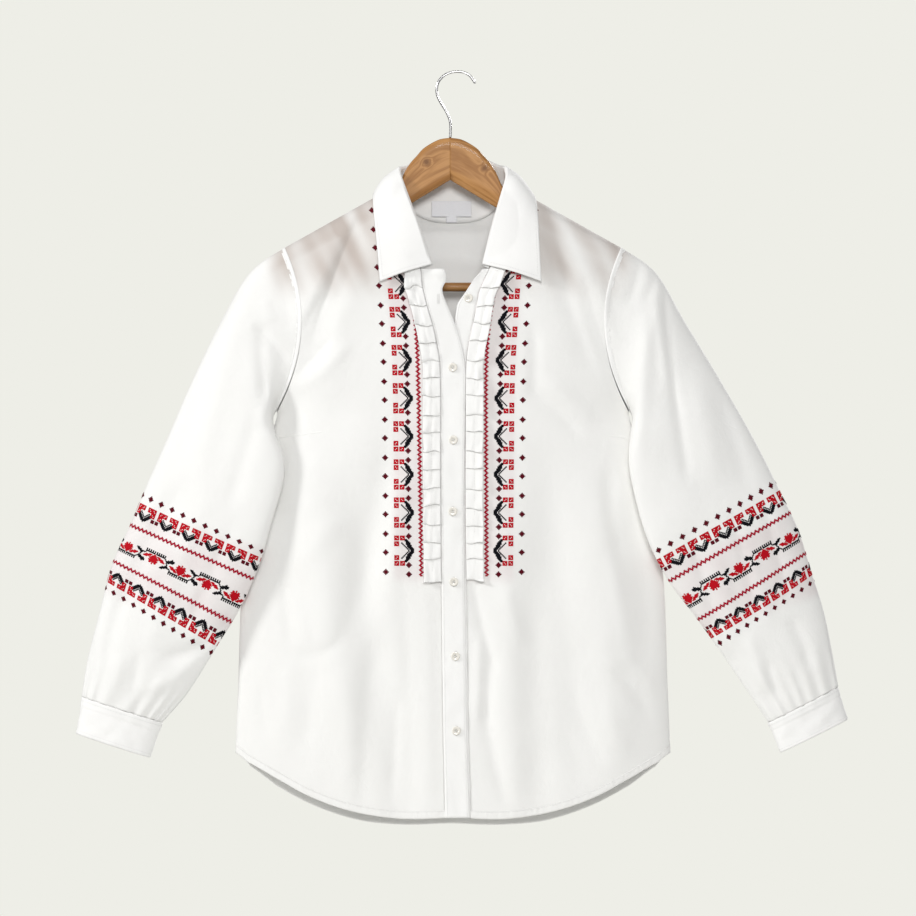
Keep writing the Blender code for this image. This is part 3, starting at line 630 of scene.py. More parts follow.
# Where the embroidered bands run on each front: the points of the black chevrons, and the
# middle of the red zigzag beside the frill, as distances from the centre line.
BANDS = {
    RIGHT: table(
        "z chevron zigzag",
        (-0.1300, 0.0645, 0.0560),
        (-0.1562, 0.0627, 0.0540),
        (-0.2010, 0.0586, 0.0490),
        (-0.2436, 0.0543, 0.0455),
        (-0.2896, 0.0508, 0.0424),
        (-0.3344, 0.0489, 0.0402),
        (-0.3770, 0.0477, 0.0391),
        (-0.5483, 0.0465, 0.0365),
        (-0.6000, 0.0463, 0.0360),
    ),
    LEFT: table(
        "z chevron zigzag",
        (-0.1300, 0.0670, 0.0640),
        (-0.1562, 0.0645, 0.0620),
        (-0.2010, 0.0600, 0.0560),
        (-0.2436, 0.0565, 0.0482),
        (-0.2896, 0.0534, 0.0412),
        (-0.3344, 0.0508, 0.0381),
        (-0.3770, 0.0495, 0.0376),
        (-0.5483, 0.0483, 0.0383),
        (-0.6000, 0.0480, 0.0383),
    ),
}


def front_haze(side):
    """How much of the floss carried behind the bands shows through the cloth."""
    def haze(place, v):
        aside = side * place.x - at(BANDS[side], place.z, "chevron")
        patches = 0.75 + 0.5 * noise.noise(place * 45.0)
        return ease((0.026 - aside) / 0.010) * ease((place.z + 0.590) / 0.016) * patches
    return haze


def front_drop(v):
    """Share of the way from the neck point to the hem at a row of the fronts."""
    neck = (FRONT_NECK_Z - NECK_POINT_Z) / (HEM["front"][0] - NECK_POINT_Z)
    return v ** (math.log(neck) / math.log(NECK_ROWS / FRONT_ROWS))


def front_point(side):
    def point(u, v):
        share = math.sin(0.5 * math.pi * u ** 1.1)
        drop = front_drop(v)
        z_inner = mix(NECK_POINT_Z, HEM["front"][0], drop)
        z_side = mix(SHOULDER_TIP_Z, HEM["front"][-1], drop)
        x = mix(side * at(PLACKETS[side], z_inner, "seam"), side_x(z_side), share)
        z = mix(z_inner, z_side, share)
        z += (at(HEM, x, "front") - mix(HEM["front"][0], HEM["front"][-1], share)) * drop ** 2
        return Vector((side * x, body_y("front", side * x, z), z))
    return point


# Bust darts: the ends of each seam, at the side and at the tip, as x and z.
DARTS = {RIGHT: ((0.1990, -0.4190), (0.1369, -0.4115)), LEFT: ((0.2000, -0.4200), (0.1690, -0.4160))}
DART_WIDTH, DART_RISE = 0.0034, 0.0009


def dart_point(side):
    """The stitched fold of a dart, standing a little off the cloth and fading to its tip."""
    def point(u, v):
        (x_seam, z_seam), (x_tip, z_tip) = DARTS[side]
        x, z = side * mix(x_seam, x_tip, u), mix(z_seam, z_tip, u) + (v - 0.5) * DART_WIDTH
        fold = v / 0.7 if v < 0.7 else (1.0 - v) / 0.3
        return Vector((x, body_y("front", x, z) + 0.0002 - DART_RISE * fold * math.sqrt(1.0 - u), z))
    return point


for label, side in SIDES:
    front = cloth(f"front_{label}_panel", (84, 210), front_point(side), (0.25, 0.73),
                  flip=side == LEFT, haze=front_haze(side))
    front_hem = cloth(f"front_{label}_hem", (260, 12), hem_fold(front_point(side)), (0.25, 0.016),
                      flip=side == LEFT, thick=HEM_PLY)
    dart = cloth(f"front_{label}_dart", (60, 10), dart_point(side), (0.06, 0.004),
                 flip=side == LEFT, thick=HEM_PLY)
    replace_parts(front, "front_" + label)


# The button bands: a double strip of the same cotton down each front edge, the wearer's
# right over the left.  Both are a little stiffer and whiter than the single cloth, and
# ripple slightly between the buttons.
DOUBLED = cotton("doubled_cotton", (0.90, 0.895, 0.88), (0.87, 0.865, 0.845), 0.22)
CLOTH = 0.0012
# How far the upper band lies over the lower one, and how far bands and frills are set
# out from the seam.
BAND_LIFT, SEAM_STEP = CLOTH + 0.0004, 0.0008


def band_y(side, x, z, lift):
    """Depth of a band's cloth, which ripples more near the open neck."""
    near_neck = math.exp(min(z - FRONT_NECK_Z, 0.0) / 0.016)
    ripple = 0.0007 * wobble(x * 60.0, z * 45.0, side)
    ripple += 0.0026 * near_neck * wobble(x * 80.0, z * 80.0, 7.0)
    return body_y("front", x, z) - lift - 0.0004 + ripple


def placket_point(side, lift):
    def point(u, v):
        row = (NECK_ROWS + v * (FRONT_ROWS - NECK_ROWS)) / FRONT_ROWS
        z = mix(NECK_POINT_Z, HEM["front"][0], front_drop(row))
        seam = at(PLACKETS[side], z, "seam") + side * SEAM_STEP
        x = mix(seam, at(PLACKETS[side], z, "free"), u)
        roll = 0.0006 * (abs(2 * u - 1) ** 8)
        return Vector((x, band_y(side, x, z, lift) + roll, z - 0.0006 * v))
    return point


for label, side, lift in (("left", LEFT, 0.0), ("right", RIGHT, BAND_LIFT)):
    band = cloth(f"button_band_{label}", (18, 320), placket_point(side, lift), (0.028, 0.63),
                 flip=side == RIGHT, thick=0.0009, look=DOUBLED)
    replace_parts(band, "placket_" + label)


# The frills: one narrow double-edged strip of knife pleats sewn beside each button band
# by a line of stitches down its middle, from under the collar to the waist.  The pleats
# are pressed flat below and stand in loose folds near the top.
RUFFLE_TOP, RUFFLE_END, RUFFLE_WIDTH = -0.2235, -0.5790, 0.0200
PLEATS, PLEAT_STEPS = 17, 8
PLEAT_RISE, RUFFLE_LIFT = 0.0036, 0.0018
# One pleat from its hidden fold to the next: share of its height, and how far it stands.
PLEAT = table(
    "way drop rise",
    (0, 0.00, 0.16),
    (1, 0.12, 0.34),
    (2, 0.36, 0.55),
    (3, 0.66, 0.78),
    (4, 0.95, 0.97),
    (5, 1.09, 1.02),
    (6, 1.13, 0.88),
    (7, 1.08, 0.70),
    (8, 1.00, 0.20),
)


def ruffle_point(side):
    def point(u, v):
        pleat, step = divmod(round(v * PLEATS * PLEAT_STEPS), PLEAT_STEPS)
        loose = 1.0 + 0.9 * math.exp(-pleat / 2.2)
        start = pleat + 0.16 * wobble(pleat * 1.7, side * 3.1, 0.5)
        following = pleat + 1 + 0.16 * wobble((pleat + 1) * 1.7, side * 3.1, 0.5)
        share = mix(start, following, PLEAT["drop"][step]) / PLEATS
        skew = 0.0030 * wobble(pleat * 2.3, u * 1.5, side * 5.0) * loose
        z = mix(RUFFLE_TOP, RUFFLE_END, share) + skew
        x = at(PLACKETS[side], z, "seam") + side * (SEAM_STEP + RUFFLE_WIDTH * u)
        x += side * u * 0.0012 * wobble(pleat * 3.7, step * 0.3, 2.0) * loose
        pressed = 1.0 - 0.22 * math.exp(-((u - 0.5) / 0.07) ** 2)
        wave = 1.0 + 0.75 * wobble(pleat * 1.3, u * 3.0, step * 0.4 + side)
        rise = PLEAT_RISE * PLEAT["rise"][step] * (0.35 + 0.65 * u) * pressed * wave * min(loose, 1.35)
        return Vector((x, body_y("front", x, z) - RUFFLE_LIFT - rise, z))
    return point


for label, side in SIDES:
    frill = cloth(f"pleated_frill_{label}", (16, PLEATS * PLEAT_STEPS), ruffle_point(side), (0.020, 0.86),
                  flip=side == LEFT, thick=STRIP, look=DOUBLED)
    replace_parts(frill, "ruffle_" + label)


# The sleeves: one tube of cotton each, set into the armhole, bent in a little at the
# elbow and gathered into the cuff.  They hang almost flat, the left one turned a little
# more to the front, with dents at the head where the hanger's ends push them out.
SLEEVE_COLUMNS = "outer_x outer_z inner_x inner_z y_outer y_inner front back"
SLEEVES = {
    RIGHT: table(
        SLEEVE_COLUMNS,
        (0.1932, -0.2005, 0.2024, -0.3873, 0.000, 0.000, 0.026, 0.022),
        (0.2334, -0.2298, 0.2065, -0.3970, 0.000, -0.010, 0.025, 0.021),
        (0.2656, -0.2838, 0.2035, -0.4130, -0.001, -0.020, 0.023, 0.020),
        (0.2990, -0.3528, 0.1943, -0.4368, -0.003, -0.030, 0.021, 0.018),
        (0.3289, -0.4218, 0.1938, -0.4690, -0.005, -0.032, 0.020, 0.016),
        (0.3508, -0.4713, 0.2082, -0.5207, -0.006, -0.031, 0.020, 0.015),
        (0.3703, -0.5184, 0.2208, -0.5633, -0.006, -0.027, 0.020, 0.015),
        (0.3910, -0.5633, 0.2427, -0.6127, -0.006, -0.020, 0.020, 0.016),
        (0.4059, -0.6196, 0.2748, -0.6656, -0.006, -0.014, 0.019, 0.017),
        (0.4198, -0.6748, 0.3048, -0.7128, -0.005, -0.009, 0.018, 0.017),
        (0.4266, -0.7162, 0.3335, -0.7461, -0.004, -0.005, 0.015, 0.014),
    ),
    LEFT: table(
        SLEEVE_COLUMNS,
        (0.1932, -0.2005, 0.2024, -0.3873, 0.000, 0.000, 0.026, 0.022),
        (0.2334, -0.2298, 0.2065, -0.3970, 0.000, -0.010, 0.025, 0.021),
        (0.2668, -0.2861, 0.2035, -0.4130, -0.001, -0.020, 0.023, 0.020),
        (0.3070, -0.3528, 0.2010, -0.4400, -0.003, -0.030, 0.021, 0.018),
        (0.3462, -0.4218, 0.2047, -0.4724, -0.005, -0.032, 0.020, 0.016),
        (0.3749, -0.4793, 0.2208, -0.5311, -0.006, -0.031, 0.020, 0.015),
        (0.3967, -0.5253, 0.2450, -0.5805, -0.006, -0.025, 0.020, 0.015),
        (0.4117, -0.5736, 0.2760, -0.6219, -0.006, -0.018, 0.020, 0.016),
        (0.4255, -0.6173, 0.3013, -0.6564, -0.006, -0.012, 0.019, 0.017),
        (0.4347, -0.6610, 0.3347, -0.7047, -0.005, -0.008, 0.018, 0.017),
        (0.4427, -0.7047, 0.3623, -0.7461, -0.004, -0.005, 0.015, 0.014),
    ),
}
SLEEVE_STATIONS = 10
SLEEVE_CREASES = {
    RIGHT: prepared([
        (-224, -294, -189, -333, -2, 7, -3.0, 1.5),
        (-221, -302, -214, -374, 0, 8, -2.2, 2),
        (-202, -360, -220, -403, 0, 9, 1.8, 2),
        (-232, -217, -243, -252, 3, 6, -1.8, 1.8),
        (-201, -224, -185, -295, -3, 6, -1.9, 1.8),
        (-215, -261, -208, -286, 0, 8, 1.4, 2),
        (-247, -272, -291, -468, 5, 16, 2.0, 2),
        (-225, -399, -253, -491, 0, 10, -1.6, 2),
        (-273, -330, -319, -447, 0, 12, -1.1, 2),
        (-312, -479, -374, -606, 5, 12, -2.2, 2),
        (-374, -594, -398, -675, 2, 9, -2.0, 2),
        (-284, -491, -346, -652, 3, 14, 1.7, 2),
        (-254, -525, -300, -631, 0, 8, -1.4, 2),
        (-330, -671, -279, -652, 3, 9, -2.2, 1.8),
        (-351, -709, -294, -675, 3, 9, 1.7, 2),
        (-381, -675, -392, -732, 0, 8, 1.5, 2),
        (-360, -669, -368, -721, 0, 7, -1.5, 1.8),
        (-420, -652, -415, -709, 0, 8, -1.4, 2),
    ]),
    LEFT: prepared([
        (216, -211, 201, -264, -2, 6, -2.0, 1.6),
        (233, -224, 222, -261, -2, 6, -1.3, 1.8),
        (232, -259, 247, -355, 0, 8, 1.6, 2),
        (243, -247, 255, -380, 2, 5, -2.2, 1.5),
        (255, -376, 268, -461, 0, 7, -1.8, 1.8),
        (221, -286, 208, -431, -3, 10, 2.2, 2),
        (193, -374, 201, -459, 0, 8, -1.8, 2),
        (278, -353, 302, -472, 0, 14, 1.5, 2),
        (307, -376, 337, -472, 0, 10, -1.1, 2),
        (273, -535, 298, -620, 0, 7, -1.3, 1.8),
        (321, -514, 346, -608, 0, 7, -1.2, 1.8),
        (355, -495, 383, -597, 0, 7, -1.0, 1.8),
        (302, -560, 324, -652, 0, 10, 1.1, 2),
        (388, -629, 408, -679, -2, 8, -1.7, 1.8),
        (360, -677, 373, -723, 0, 7, -1.5, 1.8),
        (316, -666, 365, -728, 3, 9, -2.0, 2),
        (339, -647, 358, -709, 0, 9, 1.6, 2),
        (339, -560, 362, -629, 0, 9, 0.9, 2),
    ]),
}
GATHERS = 17


def sleeve_point(side, turn, t, creased=1.0):
    """A sleeve's cloth at an angle of a section; turn 0 is the outer fold."""
    row = {name: along(values, t) for name, values in SLEEVES[side].items()}
    c = 0.5 * (1.0 - math.cos(turn))
    bulge = abs(math.sin(turn))
    x = mix(row["outer_x"], row["inner_x"], c) - ARMHOLE_BOW * max(1.0 - t / 3.0, 0.0) ** 2 * bulge ** 2
    z = mix(row["outer_z"], row["inner_z"], c)
    face, sign = ("front", -1) if math.sin(turn) >= 0 else ("back", 1)
    depth = row[face] * bulge ** 0.85
    lines = SLEEVE_CREASES[side if face == "front" else -side]
    lift = crease(lines, x * (side if face == "front" else -side), z)
    lift += 0.0012 * wobble(x * 20.0, z * 20.0, 4.0 * side + sign)
    gather = ease((t - 8.4) / 1.5) * 0.0012 * math.sin(GATHERS * turn + 2.0 * math.sin(3.0 * turn + side))
    gather *= 0.7 + 0.6 * wobble(math.cos(turn) * 2.0, math.sin(turn) * 2.0, side)
    lift *= ease(t / 0.6) * ease((SLEEVE_STATIONS - t) / 0.8) * ease(bulge / 0.4)
    depth += creased * (lift + gather * ease(bulge / 0.25))
    y = mix(row["y_outer"], row["y_inner"], c ** 1.5) + sign * depth
    y = mix(y, body_y(face, side * x, z), max(1.0 - t / 1.4, 0.0) ** 1.5)
    return Vector((side * x, y, z))


def seam_allowance(side):
    """A strip of cloth turned toward the sleeve and stitched down along the armhole."""
    def point(u, v):
        turn = 2.0 * math.pi * (u % 1.0)
        first = sleeve_point(side, turn, 0.0)
        reach = 0.0080 / max((sleeve_point(side, turn, 0.5) - first).length * 2.0, 0.0085)
        here = sleeve_point(side, turn, reach * v)
        out = Vector((0.0, -1.0 if math.sin(turn) >= 0 else 1.0, 0.0))
        out += Vector((0.6 * side, 0.0, 0.4)) * math.cos(turn)
        pucker = 0.00035 * wobble(here.x * 90.0, here.z * 190.0, v * 2.0)
        return here + out.normalized() * (0.0006 * math.sin(math.pi * min(v * 1.3 + 0.12, 1.0)) + pucker * v)
    return point


def sleeve_haze(place, v):
    """How much of the floss carried behind a sleeve's band shows through."""
    patches = 0.70 + 0.6 * wobble(place.x * 40.0, place.z * 40.0, 5.0)
    return ease((1.15 - abs(v * SLEEVE_STATIONS - 6.6)) / 0.35) * patches


for label, side in SIDES:
    def point(u, v):
        return sleeve_point(side, 2.0 * math.pi * (u % 1.0), v * SLEEVE_STATIONS)

    sleeve = cloth(f"sleeve_{label}_tube", (150, 150), point, (0.33, 0.60),
                   flip=side == RIGHT, wrap=True, haze=sleeve_haze)
    allowance = cloth(f"armhole_seam_{label}", (320, 8), seam_allowance(side), (0.40, 0.008),
                      flip=side == RIGHT, wrap=True, thick=STRIP, look=DOUBLED)
    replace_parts(sleeve, "sleeve_" + label)


# The cross-stitch: bands worked by hand in red, crimson, maroon and black floss over a
# counted grid, down both fronts beside the frills and all round each sleeve.  Every cell
# is two short raised bars of thread laid across each other, charted below row by row.
CELL = 0.0013193
FLOSS_WIDTH, FLOSS_RISE = 0.00108, 0.00034
FLOSS_SEAT = 0.00012


def thread_look(name, colour, dark, rough):
    """Twisted stranded cotton: plies from the map along each stitch, with painted shade in the grooves
    between them and random wear.
    """
    look, tree, shader = principled(name)
    place = add_node(tree, "ShaderNodeTexCoord")
    split = add_node(tree, "ShaderNodeSeparateXYZ", {0: place.outputs["UV"]})
    turns = maths(tree, "ADD", maths(tree, "MULTIPLY", split.outputs[1], 19.0),
                  maths(tree, "MULTIPLY", split.outputs[0], 7.0))
    ply_relief_and_shade = maths(tree, "ADD", maths(tree, "MULTIPLY", maths(tree, "SINE", turns), 0.5), 0.5)
    worn = noisy(tree, place.outputs["Object"], 700.0)
    share = maths(tree, "MULTIPLY", maths(tree, "ADD", ply_relief_and_shade, worn), 0.5)
    # The colour darkens in the grooves between the plies: painted shade, mixed with random wear.
    dress(tree, shader, blend(tree, share, dark, colour),
          spread(tree, worn, rough - 0.08, rough + 0.12), bump(tree, 0.5, 0.00012, ply_relief_and_shade))
    shader.inputs["Specular IOR Level"].default_value = 0.12
    return look


FLOSS = {
    "r": thread_look("red_floss", (0.57, 0.003, 0.013), (0.38, 0.002, 0.009), 0.70),
    "c": thread_look("crimson_floss", (0.44, 0.004, 0.030), (0.28, 0.003, 0.018), 0.70),
    "m": thread_look("maroon_floss", (0.125, 0.003, 0.012), (0.075, 0.002, 0.008), 0.72),
    "k": thread_look("black_floss", (0.004, 0.004, 0.007), (0.002, 0.002, 0.004), 0.75),
}
# One repeat of the fronts' chevrons, its upper half: the outer edge is on the left, and
# the centre of the blouse on the right.  The lower half mirrors it.
CHEVRON = [
    "rrrr.rrrr.mmmmm..",
    "r.rr.r.rr..mmm...",
    "rr.r.rr.r...m....",
    "rrrr.rrrrkk......",
    ".........kkk.....",
    "rrrr......kkk....",
    "r.rr..k...kkkk...",
    "rr.r...k..kkkk...",
    "rrrr....k..kkkk..",
    ".........k.kkkk..",
    "..........k.kkkk.",
    "...........k.kkkk",
    "............k.kkk",
]
CHEVRON_REPEAT, CHEVRON_POINT = 33, 15.5
DIAMOND = ["..m..", ".mmm.", "mmmmm", ".mmm.", "..m.."]
INNER_DIAMOND, OUTER_DIAMOND = 12, -8
ZIGZAG = ["c...", "cc.c", ".ccc", "..c."]
# A sleeve's upper chevron row with its spots, from the middle of a chevron outward; the
# rows run down the sleeve, the lower row of chevrons is its mirror image.
SLEEVE_CHEVRON = [
    "m..........m",
    "mm........mm",
    "mmm......mmm",
    "mm........mm",
    "m..........m",
    "............",
    "............",
    "............",
    "............",
    "..rrrrrrrr..",
    "..r.rrr.rr..",
    "..rr.rrr.r..",
    "..rrrrrrrr..",
    "......rrrr..",
    "....k.r.rr..",
    "...k.krr.r..",
    "..k.kkrrrr..",
    ".k.kkkk.....",
    "k.kkkk..mmm.",
    ".kkkk...mmm.",
    "kkkk....mmm.",
    "kkk.........",
    "k...........",
]
SLEEVE_REPEAT = 22
# Half of the rose vine's repeat, with the hanging rose; the next half is turned over.
ROSE_VINE = [
    ".k.k.k.k.k.k.k.k.k.k......",
    ".k.k.k.k.k.k.k.k.k.k......",
    ".kkkkkkkkk.kkkkkkkkk.....k",
    ".k........r.........k..kkk",
    "k....rrr.rrr.rrr.....kkkkk",
    "..rrrrr.rrrrr.rrrrr...kkk.",
    ".rrrrr.rrrrrrr.rrrrr..k...",
    "rrrr..rrrrrrrrr..rrrr..k..",
    ".......rrrrrrr.........k..",
    "......rrrrrrrrr.......kkk.",
    "kk.....rrrrrrr......kkkkkk",
    "kkk....rr.r.rr.....kkkk...",
    "kkk.......r.......kkk.....",
    "k.........................",
    "..........................",
]
VINE_HALF, VINE_REACH = 26, 7


def stitched(name, bars, looks):
    """Raised bars of thread: each has its ends, outward normal, width, rise and look."""
    rows = 3 * len(bars) - 1
    mesh = bmesh.new()
    bmesh.ops.create_grid(mesh, x_segments=2, y_segments=rows, size=0.5)
    mesh.verts.index_update()
    steps = [round((vert.co.y + 0.5) * rows) for vert in mesh.verts]
    thread_map = mesh.loops.layers.uv.new("thread")
    between = []
    for face in mesh.faces:
        low = min(steps[vert.index] for vert in face.verts)
        if low % 3 == 2:
            between.append(face)
            continue
        face.material_index = bars[low // 3][5]
        for loop in face.loops:
            loop[thread_map].uv = (loop.vert.co.x + 0.5, 0.5 * (steps[loop.vert.index] % 3))
    for vert in mesh.verts:
        number, step = divmod(steps[vert.index], 3)
        start, end, normal, width, rise, _ = bars[number]
        aside, hump = vert.co.x, 1.0 if step == 1 else 0.0
        across = (end - start).cross(normal).normalized() * width * (0.80 + 0.20 * hump)
        up = normal * (rise * hump * (1.0 - 1.7 * abs(aside)))
        vert.co = start.lerp(end, 0.5 * step) + across * aside + up
    bmesh.ops.delete(mesh, geom=between, context="FACES_ONLY")
    return finish_mesh(mesh, name, looks)


def cross_stitch(name, chart, place, sense):
    """Two crossed bars for every cell of a chart, laid on the cloth by place(column, row)."""
    corners, bars = {}, []
    letters = list(FLOSS)

    def corner(column, row):
        if (column, row) not in corners:
            corners[column, row] = place(column, row)
        return corners[column, row]

    for (column, row), letter in chart.items():
        first, last = corner(column, row), corner(column + 1, row + 1)
        other, end = corner(column + 1, row), corner(column, row + 1)
        normal = (other - end).cross(last - first).normalized() * sense
        seat = normal * FLOSS_SEAT
        look = letters.index(letter)
        bars.append((first + seat, last + seat, normal, FLOSS_WIDTH, FLOSS_RISE, look))
        bars.append((other + seat, end + seat, normal, FLOSS_WIDTH, 1.35 * FLOSS_RISE, look))
    return stitched(name, bars, list(FLOSS.values()))


def put(chart, rows, column, row):
    """Copy a small motif into a chart with its first cell at a column and row."""
    for down, line in enumerate(rows):
        for across, letter in enumerate(line):
            if letter != ".":
                chart[column + across, row + down] = letter


def front_chart(repeats):
    chart = {}
    for repeat in range(repeats):
        top = repeat * CHEVRON_REPEAT
        put(chart, CHEVRON + CHEVRON[::-1], 0, top)
        put(chart, DIAMOND, INNER_DIAMOND - 2, top - 2 if repeat else top)
        put(chart, DIAMOND, INNER_DIAMOND - 2, top + 2 * len(CHEVRON) - 3)
        put(chart, DIAMOND, OUTER_DIAMOND - 2, top + 12)
        put(chart, DIAMOND, OUTER_DIAMOND - 2, top + 29)
    put(chart, DIAMOND, INNER_DIAMOND - 2, repeats * CHEVRON_REPEAT - 2)
    return chart


FIRST_ROW_Z, FRONT_REPEATS = -0.1394, 10
ZIGZAG_TOP_Z, ZIGZAG_CELLS = -0.2321, 262


def sleeve_chart(first, last, chevron_start, rose_start):
    """The whole band of a sleeve between two columns, its rows counted from the vine."""
    chart = {}
    for column in range(first, last):
        aside = abs((column - chevron_start + SLEEVE_REPEAT // 2) % SLEEVE_REPEAT - SLEEVE_REPEAT // 2)
        for down, line in enumerate(SLEEVE_CHEVRON):
            if line[aside] != ".":
                chart[column, down - 50] = chart[column, 50 - down] = line[aside]
        for down, line in enumerate(ZIGZAG):
            if line[column % 4] != ".":
                chart[column, down - 22] = "c"
                chart[column, 21 - down] = "c"
        half, across = divmod((column - rose_start) % (2 * VINE_HALF), VINE_HALF)
        for down, line in enumerate(ROSE_VINE):
            if line[across] != ".":
                chart[column, (VINE_REACH - down if half else down - VINE_REACH)] = line[across]
    return chart


# A sleeve's band lies across it: stations of its upper spots, vine and lower spots, at
# the outer fold and at the inner one, and where its chevrons and roses begin.
SLEEVE_BANDS = {
    RIGHT: ((5.27, 5.68), (6.50, 6.86), (7.50, 8.00), 13, -25),
    LEFT: ((4.82, 5.37), (6.05, 6.60), (7.20, 8.00), 20, -21),
}
SPOT_ROW, SLEEVE_FIRST, SLEEVE_LAST = 48.0, -125, 126


def sleeve_row(side, row, turn):
    """Station of a row of the band at an angle of the sleeve."""
    inward = 0.5 * (1.0 - math.cos(turn))
    above, vine, below = (mix(outer, inner, inward) for outer, inner in SLEEVE_BANDS[side][:3])
    share = row / SPOT_ROW
    return vine + share * 0.5 * (below - above) + share * share * (0.5 * (above + below) - vine)


def column_turns(side):
    """Angle of each column round the sleeve, measured along the vine from the outer fold."""
    turns = {0: 0.0}
    for way in (1, -1):
        turn, reached, column = 0.0, 0.0, 0
        here = sleeve_point(side, 0.0, sleeve_row(side, 0, 0.0), 0.0)
        while 0 <= column * way < max(SLEEVE_LAST, -SLEEVE_FIRST) + 2:
            turn += way * 0.004
            there = sleeve_point(side, turn, sleeve_row(side, 0, turn), 0.0)
            reached += (there - here).length
            here = there
            if reached >= CELL:
                column, reached = column + way, reached - CELL
                turns[column] = turn
    return turns


for label, side in SIDES:
    def on_front(column, row):
        z = FIRST_ROW_Z - row * CELL
        x = side * (at(BANDS[side], z, "chevron") + (CHEVRON_POINT - column) * CELL)
        return Vector((x, body_y("front", x, z), z))

    def on_zigzag(column, row):
        z = ZIGZAG_TOP_Z - row * CELL
        x = side * (at(BANDS[side], z, "zigzag") + (2.0 - column) * CELL)
        return Vector((x, body_y("front", x, z), z))

    turns = column_turns(side)

    def on_sleeve(column, row):
        return sleeve_point(side, turns[column], sleeve_row(side, row, turns[column]))

    zigzag = {(down, row): "c" for row in range(ZIGZAG_CELLS)
              for down in range(4) if ZIGZAG[down][row % 4] == "c"}
    cross_stitch(f"front_{label}_chevron_band", front_chart(FRONT_REPEATS), on_front, side)
    cross_stitch(f"front_{label}_zigzag", zigzag, on_zigzag, side)
    band = sleeve_chart(SLEEVE_FIRST, SLEEVE_LAST, *SLEEVE_BANDS[side][3:])
    for part, low, high in (("chevrons", 24, 60), ("vine", -1, 24)):
        some = {cell: letter for cell, letter in band.items() if low <= abs(cell[1] + 0.5) < high}
        cross_stitch(f"sleeve_{label}_{part}", some, on_sleeve, side)


# The cuffs: a double band of cotton round each wrist, lapped at the hidden back over a
# button, with the turned seam showing as a denser strip along its upper edge.
CUFF_END = {
    RIGHT: (0.4335, -0.7588, 0.3484, -0.7864),
    LEFT: (0.4537, -0.7427, 0.3766, -0.7806),
}
CUFF_LAP, CUFF_STEP = 0.10, 0.0024


def cuff_point(side, turn, v):
    """A cuff from the sleeve's end to the wrist, without its lap."""
    end = sleeve_point(side, turn, SLEEVE_STATIONS, creased=0.0)
    outer_x, outer_z, inner_x, inner_z = CUFF_END[side]
    c = 0.5 * (1.0 - math.cos(turn))
    wrist = Vector((side * mix(outer_x, inner_x, c), 0.0, mix(outer_z, inner_z, c)))
    bulge = math.copysign(abs(math.sin(turn)) ** 0.85, math.sin(turn))
    wrist.y = mix(-0.004, -0.005, c ** 1.5) - 0.0145 * bulge
    return end.lerp(wrist, v)


def lapped_cuff(side):
    """The cuff wound outward where it laps; its upper strip stands a little higher."""
    start, sweep = 1.45 * math.pi, 2.0 * math.pi * (1.0 + CUFF_LAP)

    def point(u, v):
        turn = start + sweep * u
        here = cuff_point(side, turn, v)
        middle = 0.5 * (cuff_point(side, 0.0, v) + cuff_point(side, math.pi, v))
        out = ((here - middle) * Vector((0.35, 1.0, 0.35))).normalized()
        step = 0.0007 * ease((0.27 - v) / 0.05) + 0.0005 * ease((v - 0.90) / 0.04)
        edge = 0.0008 * max(abs(2.0 * v - 1.0) - 0.93, 0.0) / 0.07
        dent = 0.0010 * wobble(here.x * 70.0, here.z * 70.0, side * 2.0)
        return here + out * (CUFF_STEP * (u - 0.5) + step - edge + dent)
    return point


for label, side in SIDES:
    cuff = cloth(f"cuff_{label}_band", (150, 34), lapped_cuff(side), (0.21, 0.044),
                 flip=side == RIGHT, thick=0.0010, look=DOUBLED)
    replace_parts(cuff, "cuff_" + label)


# The collar: a turned-down shirt collar cut double from the same cotton and stiffened,
# rising from the neckline, rolling over and lying on the fronts in two long points.
# Its inner side behind the neck is soft and slightly crumpled.
COLLAR = table(
    "fold_x fold_y fold_z edge_x edge_y edge_z",
    (0.0000, 0.0270, -0.0960, 0.0000, 0.0345, -0.1780),
    (0.0200, 0.0262, -0.0965, 0.0320, 0.0340, -0.1780),
    (0.0400, 0.0205, -0.1015, 0.0640, 0.0325, -0.1745),
    (0.0530, 0.0120, -0.1075, 0.0850, 0.0240, -0.1640),
    (0.0605, 0.0050, -0.1095, 0.0920, 0.0120, -0.1460),
    (0.0620, -0.0010, -0.1125, 0.0925, 0.0000, -0.1400),
    (0.0595, -0.0115, -0.1235, 0.0920, -0.0120, -0.1470),
    (0.0506, -0.0175, -0.1493, 0.0903, -0.0240, -0.1660),
    (0.0414, -0.0220, -0.1746, 0.0878, -0.0320, -0.1900),
    (0.0330, -0.0290, -0.1999, 0.0855, -0.0380, -0.2150),
    (0.0262, -0.0360, -0.2225, 0.0835, -0.0395, -0.2410),
)
COLLAR_STATIONS, SHOULDER_STATION = 10, 5
# The left leaf lies further open: how far the front ends of its lines are moved out.
LEAF_SPREAD = {"fold": 0.0100, "edge": 0.0180}
STAND_SHARE, ROLL_SHARE = 3 / 12, 5 / 12
COLLAR_ROLL, COLLAR_LIFT, COLLAR_SEAM = 0.0030, 0.0026, 0.0006


def neck_seam(side, t):
    """Neckline at a collar station, 0 at the centre back, on the body's cloth."""
    if t <= SHOULDER_STATION:
        x = NECK_POINT_X * math.sin(0.5 * math.pi * t / SHOULDER_STATION)
        z = mix(BACK_NECK_Z, NECK_POINT_Z, (x / NECK_POINT_X) ** 3)
        return Vector((x, body_y("back", x, z), z))
    z = mix(NECK_POINT_Z, FRONT_NECK_Z, (t - SHOULDER_STATION) / (COLLAR_STATIONS - SHOULDER_STATION))
    x = abs(at(PLACKETS[side], z, "seam"))
    return Vector((x, body_y("front", x, z), z))


